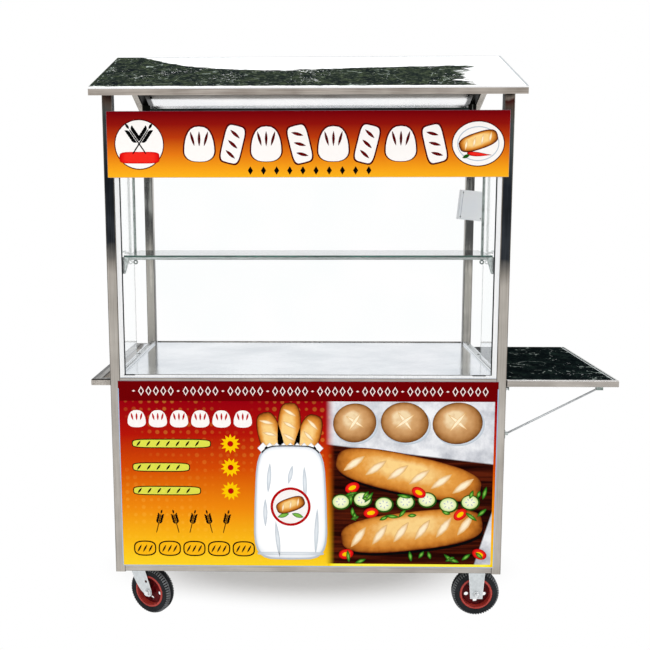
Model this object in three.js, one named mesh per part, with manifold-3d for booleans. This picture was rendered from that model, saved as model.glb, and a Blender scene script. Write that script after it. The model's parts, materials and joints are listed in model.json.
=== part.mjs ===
// A street food cart in stainless steel: a welded square-tube body on four casters, a glazed display
// case over a counter, an open gable roof, a push handle at the left and a folding table at the right.
// Millimetres, +Z up. The front faces -Y and X runs to the right of someone who looks at the front.
// The origin is on the floor, under the middle of the whole cart with its handle and table.

import * as THREE from "three";
import { mergeVertices } from "three/addons/utils/BufferGeometryUtils.js";
import Module from "manifold-3d";

const wasm = await Module();
wasm.setup();

// Body
const BODY_WIDTH = 1200; // over the posts
const BODY_DEPTH = 600; // over the posts
const LOWER_HEIGHT = 619; // frame's underside to the counter's top
const CASE_HEIGHT = 775; // counter's top to the top of the top rails
const RIDGE_RISE = 218; // top rails to the roof's ridge
const TUBE = 30; // square tube of the posts and rails
const TUBE_WALL = 1.5;
const SHEET = 1.2; // sheet of the floor, sides, doors, counter and roof
const POST_FOOT = 2.5; // how far the posts end below the base rails
const SEAT_GAP = 0.3; // between pieces that touch on slanted, round or turned faces
const CUT_OVERRUN = 1; // how far a cutting shape runs past the face that it cuts

// Printed boards
const SIGN_THICKNESS = 2;
const SIGN_INSET = 23; // in from the body's sides
const SIGN_ABOVE_FRAME = 19; // lower edge over the frame's underside
const SIGN_BELOW_COUNTER = 10;
const BANNER_THICKNESS = 5;
const BANNER_INSET = 13;
const BANNER_HEIGHT = 192;
const BANNER_ABOVE_RAIL = 18; // upper edge over the front top rail

// Rear doors
const DOOR_THICKNESS = 20;
const DOOR_GAP = 2; // above and below
const DOOR_MEETING_GAP = 3; // between the two doors
const DOOR_SIDE_GAP = 2.6; // room for the hinge leaf
const DOOR_HINGE_RADIUS = 3.5;
const DOOR_LEAF = 1;
const PULL_LENGTH = 120;
const PULL_REACH = 28;
const PULL_BAR = 10;
const PULL_FROM_EDGE = 40; // from the cart's middle
const PULL_BELOW_COUNTER = 280;

// Display case
const GLASS = 5;
const CHANNEL_WIDTH = 14; // upright legs of the front channel, as seen from the front
const CHANNEL_HEIGHT = 8; // its lower bar
const CHANNEL_DEPTH = 12;
const CHANNEL_SETBACK = 2; // behind the posts' front faces
const GLASS_BITE = 5; // how far the front glass reaches into its channel
const SIDE_TRACK_WALL = 2; // of the two tracks that the side panes stand in
const SIDE_TRACK_FLOOR = 3;
const SIDE_TRACKS_INSET = 20; // their middle, in from the body's side
const SIDE_PANE_DEPTH = 235;
const SHELF_ABOVE_COUNTER = 370; // to the shelf's top
const SHELF_DEPTH = 220;
const SHELF_SETBACK = 20; // front edge behind the body's front
const SHELF_END_GAP = 4; // to the front channel's legs
const SHELF_RAIL = 8;
const BRACKET_REACH = 34; // in from the post
const BRACKET_FOOT = 21; // width at its lower end
const BRACKET_HEIGHT = 50;
const BRACKET_LIP = 8;
const BRACKET_THICKNESS = 12;
const HANGER_RADIUS = 4;
const HANGER_BELOW_SHELF = 39; // shelf's top to the eye's middle
const HANGER_RAIL_MARGIN = 5; // its top under the top rail's top
const HANGER_PEG = 20; // length and width of the peg under the shelf
const HANGER_PEG_HEIGHT = 6;
const EYE_RADIUS = 7.5;
const EYE_HOLE_RADIUS = 3.5;
const EYE_THICKNESS = 5;
const BOX_WIDTH = 90;
const BOX_HEIGHT = 105;
const BOX_DEPTH = 35;
const BOX_BELOW_RAIL = 266; // top rails' top to the box's middle
const BOX_TURN = THREE.MathUtils.degToRad(6);

// Roof
const EAVE_DROP = 140; // ridge to eave, on the sheet's top
const EAVE_OVERHANG = 72; // past the body's front and rear
const GABLE_OVERHANG = 20; // past the body's sides
const ROOF_TUBE = 20;
const ROOF_TUBE_WALL = 1.2;
const ROOF_LIP = 5;
const DRAIN = 5; // side of the square drain hole in each closed tube frame

// Push handle at the left end
const HANDLE_REACH = 58;
const HANDLE_BAR = 30;
const HANDLE_ARM = 20;
const HANDLE_HEIGHT = 20;
const HANDLE_BELOW_COUNTER = 5;

// Folding table at the right end
const TABLE_GAP = 3;
const TABLE_LENGTH = 334;
const TABLE_DEPTH = 540;
const TABLE_BELOW_COUNTER = 5;
const TABLE_TUBE = 20;
const TABLE_RIM = 4; // frame left bare round the top sheet
const TABLE_HINGE_RADIUS = 4;
const TABLE_HINGE_DROP = 9; // pin under the table frame
const TABLE_HINGE_OUT = 4.5; // pin out from the body's side
const TABLE_HINGE_END = 10; // in from the table's front and rear edges
const TABLE_LEAF = 1.5;
const TABLE_LEAF_BELOW_COUNTER = 10;
const TABLE_FLANGE = 2; // table's own hinge leaf
const STAY_RADIUS = 3;
const STAY_PIVOT_BELOW_COUNTER = 173;
const STAY_TIP_FROM_HINGE = 277.5;
const STAY_EYE_RADIUS = 5;
const STAY_PIN_RADIUS = 2.4;
const STAY_EAR_RADIUS = 4;
const STAY_EAR = 2;
const STAY_SIDE_PLAY = 0.5;
const STAY_BASE = 1.5; // base plate's thickness
const STAY_BASE_SIZE = 26; // and its width and height
const CLIP_LENGTH = 20;
const CLIP_DEPTH = 10;

// Casters
const WHEEL_DIAMETER = 150;
const TYRE_WIDTH = 40;
const TYRE_TO_CROWN = 11.7; // room over the tyre
const CASTER_STEEL = 3;
const BEARING_HEIGHT = 8;
const BEARING_RADIUS = 28;
const PLATE_LENGTH = 100;
const PLATE_DEPTH = 85;
const CASTER_INSET = 60; // plate's middle, in from the body's side
const SWIVEL_FROM_MIDDLE = 200; // swivel axis from the cart's middle, along Y
const RIGID_FROM_MIDDLE = 213; // rigid wheels' middle plane, along Y
const TRAIL = 40; // swivel axis to the wheel's axle
const SWIVEL_TURN = THREE.MathUtils.degToRad(-25); // how the left casters stand at rest
const FORK_GAP = 46;
const FORK_BACK = 33; // crown, from the swivel axis away from the axle
const FORK_FRONT = 24; // and towards it
const FORK_TIP_RADIUS = 15;
const TIP_START = (7 * Math.PI) / 6; // where the fork's round end leaves its rear edge
const TIP_END = (17 * Math.PI) / 8; // and where it meets the front edge
const FORK_HOLE_RADIUS = 4.5;
const FORK_HOLE_BACK = 6.5; // hole's middle, behind the axle
const FORK_HOLE_UP = 35; // and above it
const KINGPIN_RADIUS = 6;
const KINGPIN_HEAD_RADIUS = 10;
const KINGPIN_HEAD_HEIGHT = 4;
const RIGID_TOP_WIDTH = 57;
const RIGID_FOOT_WIDTH = 39;
const AXLE_RADIUS = 5;
const NUT_RADIUS = 9;
const NUT_HEIGHT = 9;
const RIM_SEAT_RADIUS = 49;
const RIM_FLANGE_RADIUS = 52;
const RIM_WALL = 4;
const RIM_SEAT_WIDTH = 33;
const WEB_THICKNESS = 5;
const HUB_RADIUS = 15;
const WEB_HOLE_RADIUS = 7;
const WEB_HOLES = 5;

// Shares of the wheel and fork outlines, and how round the round pieces are
const TYRE_BEAD_SHARE = 0.14; // of the tyre's height, up its side
const TYRE_BULGE_SHARE = 0.6;
const TYRE_SHOULDER_SHARE = 0.92;
const TYRE_CROWN_SHARE = 0.6; // flat part of the tread, of the tyre's width
const TYRE_SHOULDER_WIDTH_SHARE = 0.88;
const FORK_BELLY_SHARE = 0.33; // how far back the fork's rear edge bellies, of its length to the axle
const FORK_BELLY_HEIGHT_SHARE = 0.1;
const WEB_HOLE_PLACE_SHARE = 0.5; // between the hub and the rim's wall
const WHEEL_SIDES = 28;
const ROUND_SIDES = 16;
const SMALL_SIDES = 10;
const HEX_SIDES = 6;

// Levels and places that follow from the sizes above
const HALF_WIDTH = BODY_WIDTH / 2;
const HALF_DEPTH = BODY_DEPTH / 2;
const WHEEL_RADIUS = WHEEL_DIAMETER / 2;
const CROWN_Z = WHEEL_DIAMETER + TYRE_TO_CROWN;
const BEARING_Z = CROWN_Z + CASTER_STEEL + SEAT_GAP;
const BASE_Z = BEARING_Z + BEARING_HEIGHT + CASTER_STEEL;
const FLOOR_Z = BASE_Z + TUBE;
const COUNTER_Z = BASE_Z + LOWER_HEIGHT;
const COUNTER_RAIL_Z = COUNTER_Z - SHEET - TUBE;
const TOP_RAIL_Z = COUNTER_Z + CASE_HEIGHT;
const TOP_RAIL_UNDER_Z = TOP_RAIL_Z - TUBE;
const RIDGE_Z = TOP_RAIL_Z + RIDGE_RISE;
const POST_INNER_X = HALF_WIDTH - TUBE;
const POST_INNER_Y = HALF_DEPTH - TUBE;
const SHELF_Z = COUNTER_Z + SHELF_ABOVE_COUNTER;
const SHELF_UNDER_Z = SHELF_Z - GLASS;
const SHELF_FRONT_Y = -HALF_DEPTH + SHELF_SETBACK;
const SHELF_BACK_Y = SHELF_FRONT_Y + SHELF_DEPTH;
const CHANNEL_BACK_Y = -HALF_DEPTH + CHANNEL_SETBACK + CHANNEL_DEPTH;
const TABLE_X = HALF_WIDTH + TABLE_GAP;
const TABLE_END_X = TABLE_X + TABLE_LENGTH;
const TABLE_FRONT_Y = -HALF_DEPTH;
const TABLE_BACK_Y = TABLE_FRONT_Y + TABLE_DEPTH;
const TABLE_Z = COUNTER_Z - TABLE_BELOW_COUNTER - SHEET;
const TABLE_UNDER_Z = TABLE_Z - TABLE_TUBE;
const TABLE_HINGE_X = HALF_WIDTH + TABLE_HINGE_OUT;
const TABLE_HINGE_Z = TABLE_UNDER_Z - TABLE_HINGE_DROP;
const STAY_PIVOT_X = HALF_WIDTH + STAY_BASE + STAY_EYE_RADIUS + SEAT_GAP;
const STAY_PIVOT_Z = COUNTER_Z - STAY_PIVOT_BELOW_COUNTER;
const STAY_GAP = STAY_RADIUS + STAY_SIDE_PLAY; // half the room between two ears or cheeks
const STAY_YS = [TABLE_FRONT_Y + TABLE_TUBE / 2, TABLE_BACK_Y - TABLE_TUBE / 2];
const FORK_HALF_GAP = FORK_GAP / 2;
const FORK_HALF_WIDTH = FORK_HALF_GAP + CASTER_STEEL;

// The roof's slope, and the levels of its sheet and its frame at a distance y from the middle
const EAVE_Y = HALF_DEPTH + EAVE_OVERHANG;
const ROOF_HALF_WIDTH = HALF_WIDTH + GABLE_OVERHANG;
const ROOF_SLOPE = EAVE_DROP / EAVE_Y;
const ROOF_STRETCH = Math.hypot(1, ROOF_SLOPE); // upright thickness over square thickness
const roofTop = (y) => RIDGE_Z - ROOF_SLOPE * Math.abs(y);
const sheetUnder = (y) => roofTop(y) - SHEET * ROOF_STRETCH;
const roofFrameTop = (y) => sheetUnder(y) - SEAT_GAP;
const roofFrameUnder = (y) => roofFrameTop(y) - ROOF_TUBE * ROOF_STRETCH;

// Shapes

/** A box between two opposite corners, given in any order. */
function box(x0, x1, y0, y1, z0, z1) {
  const size = [Math.abs(x1 - x0), Math.abs(y1 - y0), Math.abs(z1 - z0)];
  return new THREE.BoxGeometry(...size).translate((x0 + x1) / 2, (y0 + y1) / 2, (z0 + z1) / 2);
}

/** An outline, given as points or as a shape, drawn out along Z. */
function extruded(outline, length) {
  const shape = Array.isArray(outline)
    ? new THREE.Shape(outline.map(([a, b]) => new THREE.Vector2(a, b)))
    : outline;
  const options = { depth: length, bevelEnabled: false, curveSegments: SMALL_SIDES };
  return new THREE.ExtrudeGeometry(shape, options);
}

/** An outline in Y and Z, drawn out along X. */
function prismX(outline, x0, x1) {
  const turn = new THREE.Matrix4().makeBasis(
    new THREE.Vector3(0, 1, 0),
    new THREE.Vector3(0, 0, 1),
    new THREE.Vector3(1, 0, 0),
  );
  return extruded(outline, Math.abs(x1 - x0)).applyMatrix4(turn).translate(Math.min(x0, x1), 0, 0);
}

/** An outline in X and Z, drawn out along Y. */
function prismY(outline, y0, y1) {
  const turn = new THREE.Matrix4().makeBasis(
    new THREE.Vector3(1, 0, 0),
    new THREE.Vector3(0, 0, 1),
    new THREE.Vector3(0, -1, 0),
  );
  return extruded(outline, Math.abs(y1 - y0)).applyMatrix4(turn).translate(0, Math.max(y0, y1), 0);
}

/** An outline in X and Y, drawn up along Z. */
function prismZ(outline, z0, z1) {
  return extruded(outline, z1 - z0).translate(0, 0, z0);
}

/** A round bar along Y. */
function rodY(radius, x, z, y0, y1, sides) {
  return new THREE.CylinderGeometry(radius, radius, y1 - y0, sides).translate(x, (y0 + y1) / 2, z);
}

/** A round bar along Z. */
function rodZ(radius, x, y, z0, z1, sides) {
  return new THREE.CylinderGeometry(radius, radius, z1 - z0, sides)
    .rotateX(Math.PI / 2)
    .translate(x, y, (z0 + z1) / 2);
}

// Joins and cuts

function toSolid(geometry) {
  const bare = geometry.clone();
  bare.deleteAttribute("normal");
  bare.deleteAttribute("uv");
  const merged = mergeVertices(bare);
  const mesh = new wasm.Mesh({
    numProp: 3,
    vertProperties: new Float32Array(merged.attributes.position.array),
    triVerts: new Uint32Array(merged.index.array),
  });
  return new wasm.Manifold(mesh);
}

function toGeometry(solid) {
  const mesh = solid.getMesh();
  const geometry = new THREE.BufferGeometry();
  geometry.setAttribute("position", new THREE.BufferAttribute(mesh.vertProperties, 3));
  geometry.setIndex(new THREE.BufferAttribute(mesh.triVerts, 1));
  geometry.computeVertexNormals();
  return geometry;
}

/** A square hole up into the underside of a closed tube frame. */
function drainHole(x, y, z) {
  const half = DRAIN / 2;
  return box(x - half, x + half, y - half, y + half, z - DRAIN, z + DRAIN);
}

/** All the shapes joined, less all the cuts joined. */
function joined(shapes, cuts = []) {
  const whole = shapes.map(toSolid).reduce((a, b) => a.add(b));
  return toGeometry(cuts.map(toSolid).reduce((a, b) => a.subtract(b), whole));
}

function add(parent, name, geometry, [color, roughness, metalness, opacity = 1]) {
  const material = new THREE.MeshStandardMaterial({ color, roughness, metalness, opacity });
  material.transparent = opacity < 1;
  const mesh = new THREE.Mesh(geometry, material);
  mesh.name = name;
  parent.add(mesh);
  return mesh;
}

// Colours as colour, roughness, metalness and, on glass, opacity
const STEEL = ["#bdb6ae", 0.35, 0.9];
const POLISHED = ["#dde1e6", 0.12, 1];
const ALUMINIUM = ["#e3e6e8", 0.3, 0.9];
const GLAZING = ["#cfe6df", 0.05, 0, 0.3];
const BANNER_PRINT = ["#c4560f", 0.45, 0];
const SIGN_PRINT = ["#c8320e", 0.45, 0];
const WHITE_PLASTIC = ["#e4e9ef", 0.5, 0];
const ROOF_SHEET = ["#48524c", 0.2, 0.8];
const TABLE_SHEET = ["#12191b", 0.15, 0.8];
const ZINC = ["#d5dadb", 0.4, 0.8];
const RED_PAINT = ["#b8443c", 0.4, 0.1];
const RUBBER = ["#1c1c1e", 0.85, 0];

// Body frame

/** Outline of a front or rear post, cut to the roof's slope, or of its bore when there is an inset. */
function postOutline(end, inset, overrun) {
  const [outer, inner] = [HALF_DEPTH - inset, POST_INNER_Y + inset];
  const low = BASE_Z - POST_FOOT - overrun;
  const high = (y) => roofFrameUnder(y) - SEAT_GAP + overrun;
  const corners = [[outer, low], [outer, high(outer)], [inner, high(inner)], [inner, low]];
  return corners.map(([y, z]) => [end * y, z]);
}

/** Posts and rails of one end, welded: the posts' bores are open at both ends. */
function sideFrame(side) {
  const outerX = side * HALF_WIDTH;
  const innerX = side * POST_INNER_X;
  const boreOuterX = side * (HALF_WIDTH - TUBE_WALL);
  const boreInnerX = side * (POST_INNER_X + TUBE_WALL);
  const ends = [-1, 1];
  const shapes = ends.map((end) => prismX(postOutline(end, 0, 0), innerX, outerX));
  const cuts = ends.map((end) => prismX(postOutline(end, TUBE_WALL, CUT_OVERRUN), boreInnerX, boreOuterX));
  const boreY = HALF_DEPTH - TUBE / 2;
  for (const z of [BASE_Z, COUNTER_RAIL_Z, TOP_RAIL_UNDER_Z]) {
    shapes.push(box(innerX, outerX, -POST_INNER_Y, POST_INNER_Y, z, z + TUBE));
    cuts.push(box(boreInnerX, boreOuterX, -boreY, boreY, z + TUBE_WALL, z + TUBE - TUBE_WALL));
  }
  return joined(shapes, cuts);
}

/** A square tube between the posts, open at its ends. */
function crossRail(y, z) {
  const reach = POST_INNER_X + CUT_OVERRUN;
  const bore = box(-reach, reach, y + TUBE_WALL, y + TUBE - TUBE_WALL, z + TUBE_WALL, z + TUBE - TUBE_WALL);
  return joined([box(-POST_INNER_X, POST_INNER_X, y, y + TUBE, z, z + TUBE)], [bore]);
}

/** Front and rear base rails, joined by the two beams that carry the casters. */
function baseFrame() {
  const shapes = [];
  const cuts = [];
  const lowZ = BASE_Z + TUBE_WALL;
  const highZ = FLOOR_Z - TUBE_WALL;
  const reach = POST_INNER_X + CUT_OVERRUN;
  for (const y of [-HALF_DEPTH, POST_INNER_Y]) {
    shapes.push(box(-POST_INNER_X, POST_INNER_X, y, y + TUBE, BASE_Z, FLOOR_Z));
    cuts.push(box(-reach, reach, y + TUBE_WALL, y + TUBE - TUBE_WALL, lowZ, highZ));
  }
  const boreY = HALF_DEPTH - TUBE / 2;
  const beamX = HALF_WIDTH - CASTER_INSET - PLATE_LENGTH / 2;
  for (const side of [-1, 1]) {
    const inner = side * beamX;
    const outer = side * (beamX + TUBE);
    const wall = side * TUBE_WALL;
    shapes.push(box(inner, outer, -POST_INNER_Y, POST_INNER_Y, BASE_Z, FLOOR_Z));
    cuts.push(box(inner + wall, outer - wall, -boreY, boreY, lowZ, highZ));
  }
  return joined(shapes, cuts);
}

/** A sheet over the whole body, cut out round the four posts. */
function notchedSheet(z) {
  const [w, d, x, y] = [HALF_WIDTH, HALF_DEPTH, POST_INNER_X, POST_INNER_Y];
  const quarter = [[w, y], [x, y], [x, d]];
  const outline = [
    ...quarter,
    ...quarter.map(([a, b]) => [-a, b]).reverse(),
    ...quarter.map(([a, b]) => [-a, -b]),
    ...quarter.map(([a, b]) => [a, -b]).reverse(),
  ];
  return prismZ(outline, z, z + SHEET);
}

function addBody(cart) {
  add(cart, "left_side_frame", sideFrame(-1), STEEL);
  add(cart, "right_side_frame", sideFrame(1), STEEL);
  add(cart, "base_frame", baseFrame(), STEEL);
  add(cart, "front_counter_rail", crossRail(-HALF_DEPTH, COUNTER_RAIL_Z), STEEL);
  add(cart, "rear_counter_rail", crossRail(POST_INNER_Y, COUNTER_RAIL_Z), STEEL);
  add(cart, "front_top_rail", crossRail(-HALF_DEPTH, TOP_RAIL_UNDER_Z), STEEL);
  const rearTopZ = roofFrameUnder(HALF_DEPTH) - SEAT_GAP - TUBE;
  add(cart, "rear_top_rail", crossRail(POST_INNER_Y, rearTopZ), STEEL);
  add(cart, "floor_plate", notchedSheet(FLOOR_Z), STEEL);
  add(cart, "counter_top", notchedSheet(COUNTER_Z - SHEET), POLISHED);
  for (const [name, side] of [["left", -1], ["right", 1]]) {
    const low = FLOOR_Z + SHEET;
    const panel = box(
      side * (HALF_WIDTH - SHEET), side * HALF_WIDTH, -POST_INNER_Y, POST_INNER_Y, low, COUNTER_RAIL_Z,
    );
    add(cart, name + "_side_panel", panel, STEEL);
  }
}

function addBoards(cart) {
  const signX = HALF_WIDTH - SIGN_INSET;
  const signLow = BASE_Z + SIGN_ABOVE_FRAME;
  const signHigh = COUNTER_Z - SIGN_BELOW_COUNTER;
  const sign = box(-signX, signX, -HALF_DEPTH - SIGN_THICKNESS, -HALF_DEPTH, signLow, signHigh);
  add(cart, "front_sign_panel", sign, SIGN_PRINT);
  const bannerX = HALF_WIDTH - BANNER_INSET;
  const bannerHigh = TOP_RAIL_Z + BANNER_ABOVE_RAIL;
  const front = -HALF_DEPTH - BANNER_THICKNESS;
  const banner = box(-bannerX, bannerX, front, -HALF_DEPTH, bannerHigh - BANNER_HEIGHT, bannerHigh);
  add(cart, "banner_board", banner, BANNER_PRINT);
}

/** Two folded sheet doors that open to the rear, each with a piano hinge on its post and a pull. */
function addDoors(cart) {
  const low = FLOOR_Z + SHEET + DOOR_GAP;
  const high = COUNTER_RAIL_Z - DOOR_GAP;
  const frontY = HALF_DEPTH - DOOR_THICKNESS;
  const hingeX = POST_INNER_X - DOOR_SIDE_GAP / 2;
  const hingeY = HALF_DEPTH + DOOR_HINGE_RADIUS + SEAT_GAP;
  for (const [name, side] of [["left", -1], ["right", 1]]) {
    const free = side * (DOOR_MEETING_GAP / 2);
    const hung = side * (POST_INNER_X - DOOR_SIDE_GAP);
    const wall = side * SHEET;
    const pan = box(free, hung, frontY, HALF_DEPTH, low, high);
    const hollow = box(
      free + wall, hung - wall, frontY - CUT_OVERRUN, HALF_DEPTH - SHEET, low + SHEET, high - SHEET,
    );
    add(cart, name + "_door", joined([pan], [hollow]), STEEL);

    const leaf = box(side * (POST_INNER_X - DOOR_LEAF), side * POST_INNER_X, frontY, hingeY, low, high);
    const barrel = rodZ(DOOR_HINGE_RADIUS, side * hingeX, hingeY, low, high, SMALL_SIDES);
    add(cart, name + "_door_hinge", joined([leaf, barrel]), ZINC);

    const middle = COUNTER_Z - PULL_BELOW_COUNTER;
    const half = PULL_LENGTH / 2;
    const reach = HALF_DEPTH + PULL_REACH;
    const pull = [
      [HALF_DEPTH, middle - half], [reach, middle - half], [reach, middle + half],
      [HALF_DEPTH, middle + half], [HALF_DEPTH, middle + half - PULL_BAR],
      [reach - PULL_BAR, middle + half - PULL_BAR], [reach - PULL_BAR, middle - half + PULL_BAR],
      [HALF_DEPTH, middle - half + PULL_BAR],
    ];
    add(
      cart, name + "_door_pull",
      prismX(pull, side * PULL_FROM_EDGE, side * (PULL_FROM_EDGE + PULL_BAR)), POLISHED,
    );
  }
}

/** The front pane and the U-shaped channel that holds it at both sides and below. */
function addFrontGlass(cart) {
  const outer = POST_INNER_X;
  const inner = POST_INNER_X - CHANNEL_WIDTH;
  const sillZ = COUNTER_Z + CHANNEL_HEIGHT;
  const frontY = -HALF_DEPTH + CHANNEL_SETBACK;
  const glassX = inner + GLASS_BITE;
  const glassLow = sillZ - GLASS_BITE;
  const middleY = (frontY + CHANNEL_BACK_Y) / 2;
  const pane = (play) => box(
    -glassX - play, glassX + play, middleY - GLASS / 2 - play, middleY + GLASS / 2 + play,
    glassLow - play, TOP_RAIL_UNDER_Z - SEAT_GAP + play + play,
  );
  const outline = [
    [-outer, COUNTER_Z], [outer, COUNTER_Z], [outer, TOP_RAIL_UNDER_Z], [inner, TOP_RAIL_UNDER_Z],
    [inner, sillZ], [-inner, sillZ], [-inner, TOP_RAIL_UNDER_Z], [-outer, TOP_RAIL_UNDER_Z],
  ];
  add(cart, "front_glass", pane(0), GLAZING);
  const channel = joined([prismY(outline, frontY, CHANNEL_BACK_Y)], [pane(SEAT_GAP)]);
  add(cart, "front_glass_channel", channel, ALUMINIUM);
}

/** A pane at each end, from the front post to the middle, in the inner of two tracks on the counter. */
function addSidePanes(cart) {
  for (const [name, side] of [["left", -1], ["right", 1]]) {
    const middle = HALF_WIDTH - SIDE_TRACKS_INSET;
    const near = SIDE_TRACK_WALL / 2;
    const far = near + GLASS + SEAT_GAP + SEAT_GAP;
    const half = far + SIDE_TRACK_WALL;
    const high = COUNTER_Z + CHANNEL_HEIGHT;
    const trackZ = COUNTER_Z + SIDE_TRACK_FLOOR;
    const profile = [
      [-half, COUNTER_Z], [half, COUNTER_Z], [half, high], [far, high], [far, trackZ], [near, trackZ],
      [near, high], [-near, high], [-near, trackZ], [-far, trackZ], [-far, high], [-half, high],
    ].map(([x, z]) => [side * (middle + x), z]);
    add(cart, name + "_side_channel", prismY(profile, -POST_INNER_Y, POST_INNER_Y), ALUMINIUM);
    const outer = middle - near - SEAT_GAP;
    const pane = box(
      side * (outer - GLASS), side * outer, -POST_INNER_Y + SEAT_GAP, -POST_INNER_Y + SIDE_PANE_DEPTH,
      trackZ + SEAT_GAP, TOP_RAIL_UNDER_Z - SEAT_GAP,
    );
    add(cart, name + "_side_pane", pane, GLAZING);
  }
}

/** A glass shelf on a rail between two brackets in front, and on two hanger rods behind. */
function addShelf(cart) {
  const end = POST_INNER_X - CHANNEL_WIDTH - SHELF_END_GAP;
  add(cart, "shelf_glass", box(-end, end, SHELF_FRONT_Y, SHELF_BACK_Y, SHELF_UNDER_Z, SHELF_Z), GLAZING);
  const railX = POST_INNER_X - BRACKET_REACH;
  const railBackY = SHELF_FRONT_Y + SHELF_RAIL;
  const rail = box(-railX, railX, SHELF_FRONT_Y, railBackY, SHELF_UNDER_Z - SHELF_RAIL, SHELF_UNDER_Z);
  add(cart, "shelf_rail", rail, ALUMINIUM);

  for (const [name, side] of [["left", -1], ["right", 1]]) {
    const foot = SHELF_UNDER_Z - BRACKET_HEIGHT;
    const bracket = [
      [POST_INNER_X, SHELF_UNDER_Z], [railX, SHELF_UNDER_Z], [railX, SHELF_UNDER_Z - BRACKET_LIP],
      [POST_INNER_X - BRACKET_FOOT, foot], [POST_INNER_X, foot],
    ].map(([x, z]) => [side * x, z]);
    add(
      cart, name + "_shelf_bracket",
      prismY(bracket, railBackY - BRACKET_THICKNESS, railBackY), ZINC,
    );

    const x = side * (POST_INNER_X - HANGER_RADIUS - SEAT_GAP);
    const y = SHELF_BACK_Y + HANGER_RADIUS + SEAT_GAP;
    const eyeZ = SHELF_Z - HANGER_BELOW_SHELF;
    const rodLow = eyeZ + EYE_HOLE_RADIUS + SEAT_GAP;
    const rod = rodZ(HANGER_RADIUS, x, y, rodLow, TOP_RAIL_Z - HANGER_RAIL_MARGIN, SMALL_SIDES);
    const eye = rodY(EYE_RADIUS, x, eyeZ, y - EYE_THICKNESS / 2, y + EYE_THICKNESS / 2, ROUND_SIDES);
    const peg = box(
      x + side * HANGER_RADIUS, x - side * (HANGER_PEG - HANGER_RADIUS),
      y + HANGER_RADIUS, y + HANGER_RADIUS - HANGER_PEG, SHELF_UNDER_Z - HANGER_PEG_HEIGHT, SHELF_UNDER_Z,
    );
    const hole = rodY(EYE_HOLE_RADIUS, x, eyeZ, y - EYE_THICKNESS, y + EYE_THICKNESS, SMALL_SIDES);
    add(cart, name + "_shelf_hanger", joined([rod, eye, peg], [hole]), ZINC);
  }
}

/** A small plastic box on the front of the right rear post, put up a little askew. */
function addSwitchBox(cart) {
  const shape = new THREE.BoxGeometry(BOX_WIDTH, BOX_DEPTH, BOX_HEIGHT);
  const mesh = add(cart, "switch_box", shape, WHITE_PLASTIC);
  mesh.position.x = HALF_WIDTH - TUBE / 2;
  mesh.position.y = POST_INNER_Y - SEAT_GAP - BOX_DEPTH / 2;
  mesh.position.z = TOP_RAIL_Z - BOX_BELOW_RAIL;
  mesh.rotation.y = BOX_TURN;
}

// Roof

/** Outline of the roof frame from y0 to y1 on one slope, or over the ridge, less an inset all round. */
function roofOutline(y0, y1, inset = 0) {
  const rise = inset * ROOF_STRETCH;
  const [from, to] = [y0 + inset, y1 - inset];
  const over = from < 0 && to > 0 ? [from, 0, to] : [from, to];
  return [
    ...over.map((y) => [y, roofFrameUnder(y) + rise]),
    ...over.reverse().map((y) => [y, roofFrameTop(y) - rise]),
  ];
}

/** Eave tubes, ridge tube, gable rafters and the rafters that sit on the posts, with linked bores. */
function roofFrame() {
  const eave = EAVE_Y - SHEET - SEAT_GAP;
  const runs = [
    [-eave, -eave + ROOF_TUBE, -ROOF_HALF_WIDTH, ROOF_HALF_WIDTH],
    [-ROOF_TUBE / 2, ROOF_TUBE / 2, -ROOF_HALF_WIDTH, ROOF_HALF_WIDTH],
    [eave - ROOF_TUBE, eave, -ROOF_HALF_WIDTH, ROOF_HALF_WIDTH],
  ];
  for (const side of [-1, 1]) {
    for (const middle of [ROOF_HALF_WIDTH - ROOF_TUBE / 2, HALF_WIDTH - TUBE / 2]) {
      runs.push([-eave, eave, side * middle - ROOF_TUBE / 2, side * middle + ROOF_TUBE / 2]);
    }
  }
  const shapes = runs.map(([y0, y1, x0, x1]) => prismX(roofOutline(y0, y1), x0, x1));
  const cuts = runs.map(([y0, y1, x0, x1]) =>
    prismX(roofOutline(y0, y1, ROOF_TUBE_WALL), x0 + ROOF_TUBE_WALL, x1 - ROOF_TUBE_WALL),
  );
  const drainY = eave - ROOF_TUBE / 2;
  return joined(shapes, [...cuts, drainHole(0, drainY, roofFrameUnder(drainY))]);
}

/** One sheet folded over the ridge, with a lip turned down over each eave. */
function roofSheet() {
  const lipZ = roofTop(EAVE_Y) - ROOF_LIP;
  const lipY = EAVE_Y - SHEET;
  const half = [[EAVE_Y, roofTop(EAVE_Y)], [EAVE_Y, lipZ], [lipY, lipZ], [lipY, sheetUnder(lipY)]];
  const outline = [
    [0, RIDGE_Z],
    ...half,
    [0, sheetUnder(0)],
    ...half.map(([y, z]) => [-y, z]).reverse(),
  ];
  return prismX(outline, -ROOF_HALF_WIDTH, ROOF_HALF_WIDTH);
}

// Ends

/** A bar along the left end on two arms: the arms' bores are open against the posts. */
function pushHandle() {
  const barX = HALF_WIDTH + HANDLE_REACH;
  const topZ = COUNTER_Z - HANDLE_BELOW_COUNTER;
  const lowZ = topZ - HANDLE_HEIGHT;
  const wall = TUBE_WALL;
  const [boreX, boreLow, boreTop] = [-barX + wall, lowZ + wall, topZ - wall];
  const innerX = -barX + HANDLE_BAR;
  const boreY = HALF_DEPTH - wall;
  const shapes = [box(-barX, innerX, -HALF_DEPTH, HALF_DEPTH, lowZ, topZ)];
  const cuts = [box(boreX, innerX - wall, -boreY, boreY, boreLow, boreTop)];
  for (const end of [-1, 1]) {
    const armY = HALF_DEPTH - HANDLE_ARM;
    shapes.push(box(-barX, -HALF_WIDTH, end * HALF_DEPTH, end * armY, lowZ, topZ));
    cuts.push(box(boreX, -HALF_WIDTH + CUT_OVERRUN, end * boreY, end * (armY + wall), boreLow, boreTop));
  }
  return joined(shapes, cuts);
}

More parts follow.
